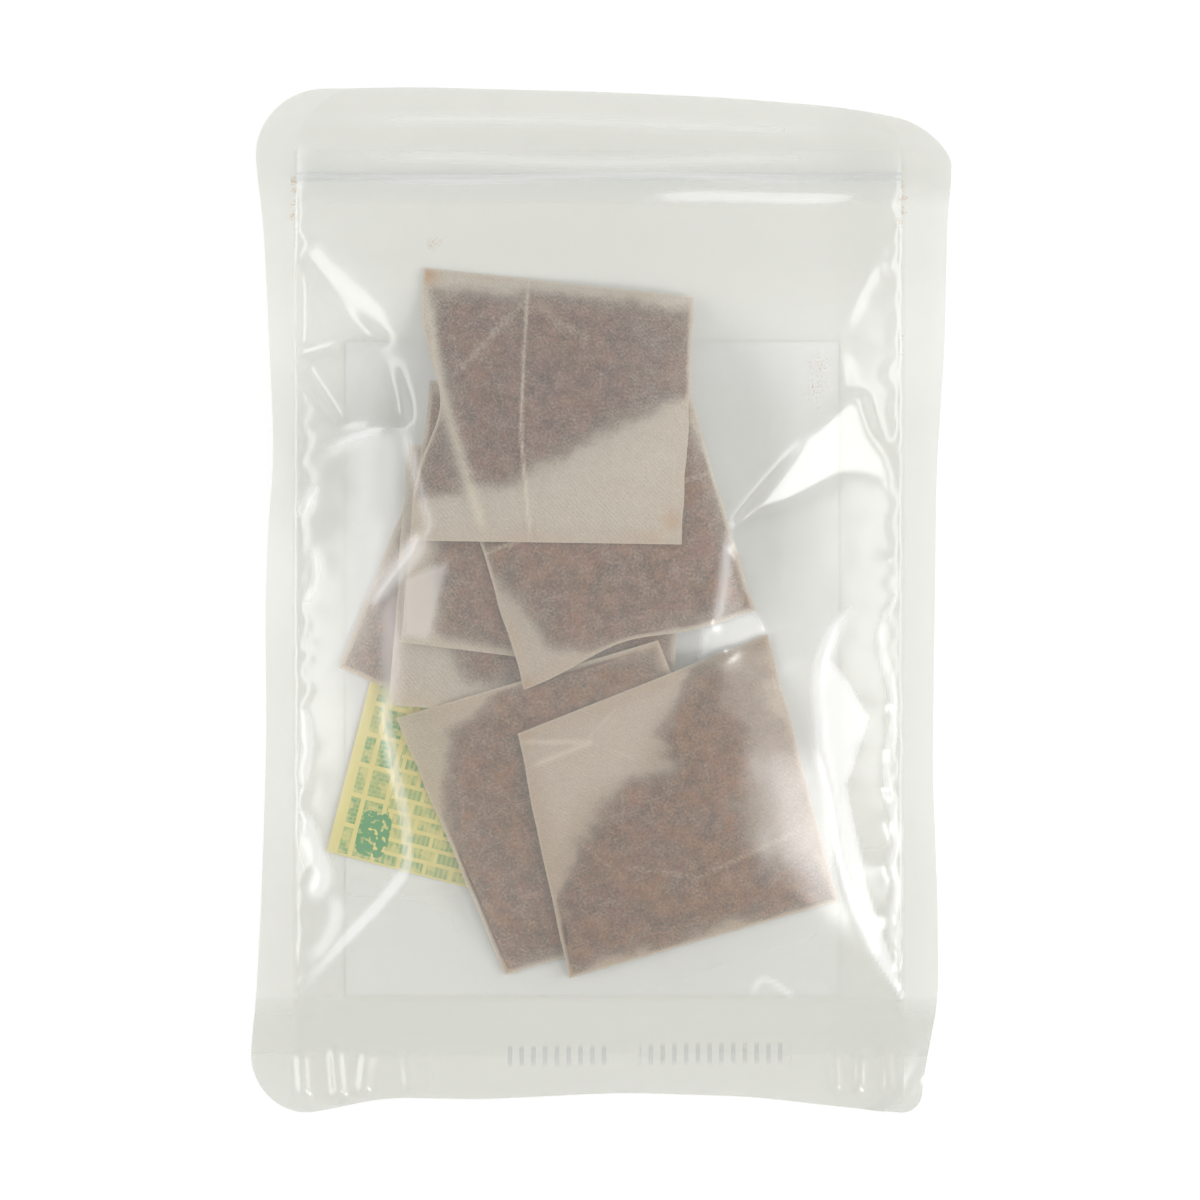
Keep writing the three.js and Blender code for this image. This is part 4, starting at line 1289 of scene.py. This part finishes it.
class DASHI_OT_films(bpy.types.Operator):
    """Builds the front film and the wrinkled back film of the pouch"""

    bl_idname = "dashi.films"
    bl_label = "Build films"

    def execute(self, context):
        settings = context.scene.dashi_pouch
        material = film_material(settings, context.scene.dashi_look)
        s, fy, x, y = film_plan(settings.film_columns, settings.film_rows)
        welded = (np.abs(s) >= SEAL_SHARE) | (fy <= BOTTOM_SEAL_Y) | (fy >= TOP_SEAL_Y)
        zipped = (fy > ZIP_BOTTOM_Y) & ~welded
        held = welded | zipped

        # The back film, settled on the pile between its welds
        low = FILM + RIM_CURL * soften(heights(tree_of("front_film"), x, y, False), 2, 2)
        z = np.where(welded, low + WELD, heights(tree_of("back_film"), x, y, True))
        z = np.where(zipped, np.maximum(soften(z, 2, 2), low + WELD), z)
        cover = soften(widened(pile.under(x, y), 2), 1.6, 1.6) + FILM_ON_PILE
        z = drape(z, held, cover, settings.film_puff)
        z = np.where(held, z, soften(z, 1.5, 1.5))

        # Its gathers, folds and wrinkles
        rng = np.random.default_rng(settings.seed)
        z = z + settings.gather_height / MM * side_gathers(x, y, rng) * ~welded
        z = z + seal_folds(x, y, rng) * ~welded
        calm = 0.16 * value_noise(x, y, 12.0, 5) + 0.06 * value_noise(x, y, 4.5, 6)
        z, milky_and_sheen = fold_film(z + calm * ~welded, x, y, welded)
        z = np.where(welded, z, soften(np.maximum(z, cover - 0.1), 0.9, 0.9))
        ribs = RIB_HEIGHT * np.sin(fy * 2 * math.pi / RIB_STEP)
        z = z + ribs * (fy < BOTTOM_SEAL_Y) * (fy > SKIRT_Y)

        under = pile.under(x, y)
        contents = soften((under > 1.0) * (1 - 0.3 * smoothstep(2.5, 8.0, z - under)), 3, 3)
        none = np.zeros(x.shape)
        back_values = {
            "veil": film_veil(s, fy, x, y, contents, settings.film_haze), "dust": film_dust(fy, x, y),
            "milky_and_sheen": milky_and_sheen, "mark": printed(x, y),
        }
        front_values = {
            "veil": film_veil(s, fy, x, y, none, settings.film_haze), "dust": none,
            "milky_and_sheen": none, "mark": none,
        }
        back = make_film("back_film_sheet", x, y, z, material, back_values)
        front = make_film("front_film_sheet", x, y, np.minimum(low, z - 0.1), material, front_values)
        for piece, cad in ((back, "back_film"), (front, "front_film")):
            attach(piece, "root")
            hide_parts(cad)
        return {"FINISHED"}


class DASHI_OT_stage(bpy.types.Operator):
    """Sets up the floor, the lamps and the camera"""

    bl_idname = "dashi.stage"
    bl_label = "Build stage"

    def execute(self, context):
        scene = context.scene
        settings = scene.dashi_stage
        mesh = bpy.data.meshes.new("floor")
        corners = [(-FLOOR_HALF, -FLOOR_HALF, 0), (FLOOR_HALF, -FLOOR_HALF, 0),
                   (FLOOR_HALF, FLOOR_HALF, 0), (-FLOOR_HALF, FLOOR_HALF, 0)]
        mesh.from_pydata(corners, [], [(0, 1, 2, 3)])
        floor = bpy.data.objects.new("floor", mesh)
        floor.location.z = -FLOOR_DROP
        material, tree = new_material("floor")
        matt = node(tree, "ShaderNodeBsdfDiffuse", Color=FLOOR_COLOUR)
        glow = node(tree, "ShaderNodeEmission", Color=(1, 1, 1, 1))
        path = tree.nodes.new("ShaderNodeLightPath")
        seen = larger(tree, path.outputs["Is Camera Ray"], path.outputs["Is Transmission Ray"])
        join(tree, times(tree, seen, FLOOR_GLOW), glow.inputs["Strength"])
        both = tree.nodes.new("ShaderNodeAddShader")
        join(tree, matt.outputs[0], both.inputs[0])
        join(tree, glow.outputs[0], both.inputs[1])
        show(tree, both)
        mesh.materials.append(material)
        scene.collection.objects.link(floor)

        world = bpy.data.worlds.new("room")
        world.use_nodes = True
        room = world.node_tree.nodes["Background"]
        room.inputs["Color"].default_value = (1, 1, 1, 1)
        room.inputs["Strength"].default_value = settings.room_light
        scene.world = world

        for name, place, wide, tall, share in LAMPS:
            lamp = bpy.data.lights.new(name, "AREA")
            lamp.shape = "RECTANGLE"
            lamp.size, lamp.size_y = wide, tall
            lamp.energy = settings.side_light * share * math.pi * wide * tall
            shown = bpy.data.objects.new(name, lamp)
            shown.location = place
            shown.rotation_euler = Vector(place).to_track_quat("Z", "Y").to_euler()
            scene.collection.objects.link(shown)

        camera = bpy.data.cameras.new("camera")
        camera.sensor_width = SENSOR
        camera.lens = SENSOR * settings.camera_height / settings.view_width
        camera.clip_end = 10
        shown = bpy.data.objects.new("camera", camera)
        shown.location = (CAMERA_X * MM, CAMERA_Y * MM, settings.camera_height + VIEW_HEIGHT)
        scene.collection.objects.link(shown)
        scene.camera = shown
        scene.view_settings.view_transform = "Standard"
        scene.cycles.transparent_max_bounces = 32
        return {"FINISHED"}


class DASHI_PT_panel(bpy.types.Panel):
    """Sizes and build steps of the pouch"""

    bl_idname = "DASHI_PT_panel"
    bl_label = "Dashi bag pouch"
    bl_space_type = "VIEW_3D"
    bl_region_type = "UI"
    bl_category = "Dashi bag"

    def draw(self, context):
        layout = self.layout
        scene = context.scene
        for settings in (scene.dashi_pouch, scene.dashi_look, scene.dashi_stage):
            box = layout.box()
            for name in settings.__annotations__:
                box.prop(settings, name)
        for operator in STEPS:
            layout.operator(operator.bl_idname)


STEPS = (DASHI_OT_label, DASHI_OT_absorber, DASHI_OT_bags, DASHI_OT_strip, DASHI_OT_films, DASHI_OT_stage)
CLASSES = (LookSettings, PouchSettings, StageSettings, *STEPS, DASHI_PT_panel)


def register():
    for cls in CLASSES:
        bpy.utils.register_class(cls)
    bpy.types.Scene.dashi_pouch = bpy.props.PointerProperty(type=PouchSettings)
    bpy.types.Scene.dashi_look = bpy.props.PointerProperty(type=LookSettings)
    bpy.types.Scene.dashi_stage = bpy.props.PointerProperty(type=StageSettings)


def unregister():
    del bpy.types.Scene.dashi_stage
    del bpy.types.Scene.dashi_look
    del bpy.types.Scene.dashi_pouch
    for cls in reversed(CLASSES):
        bpy.utils.unregister_class(cls)


def main():
    register()
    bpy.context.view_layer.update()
    bpy.ops.dashi.label()
    bpy.ops.dashi.absorber()
    bpy.ops.dashi.bags()
    bpy.ops.dashi.strip()
    bpy.ops.dashi.films()
    bpy.ops.dashi.stage()


if __name__ == "__main__":
    main()
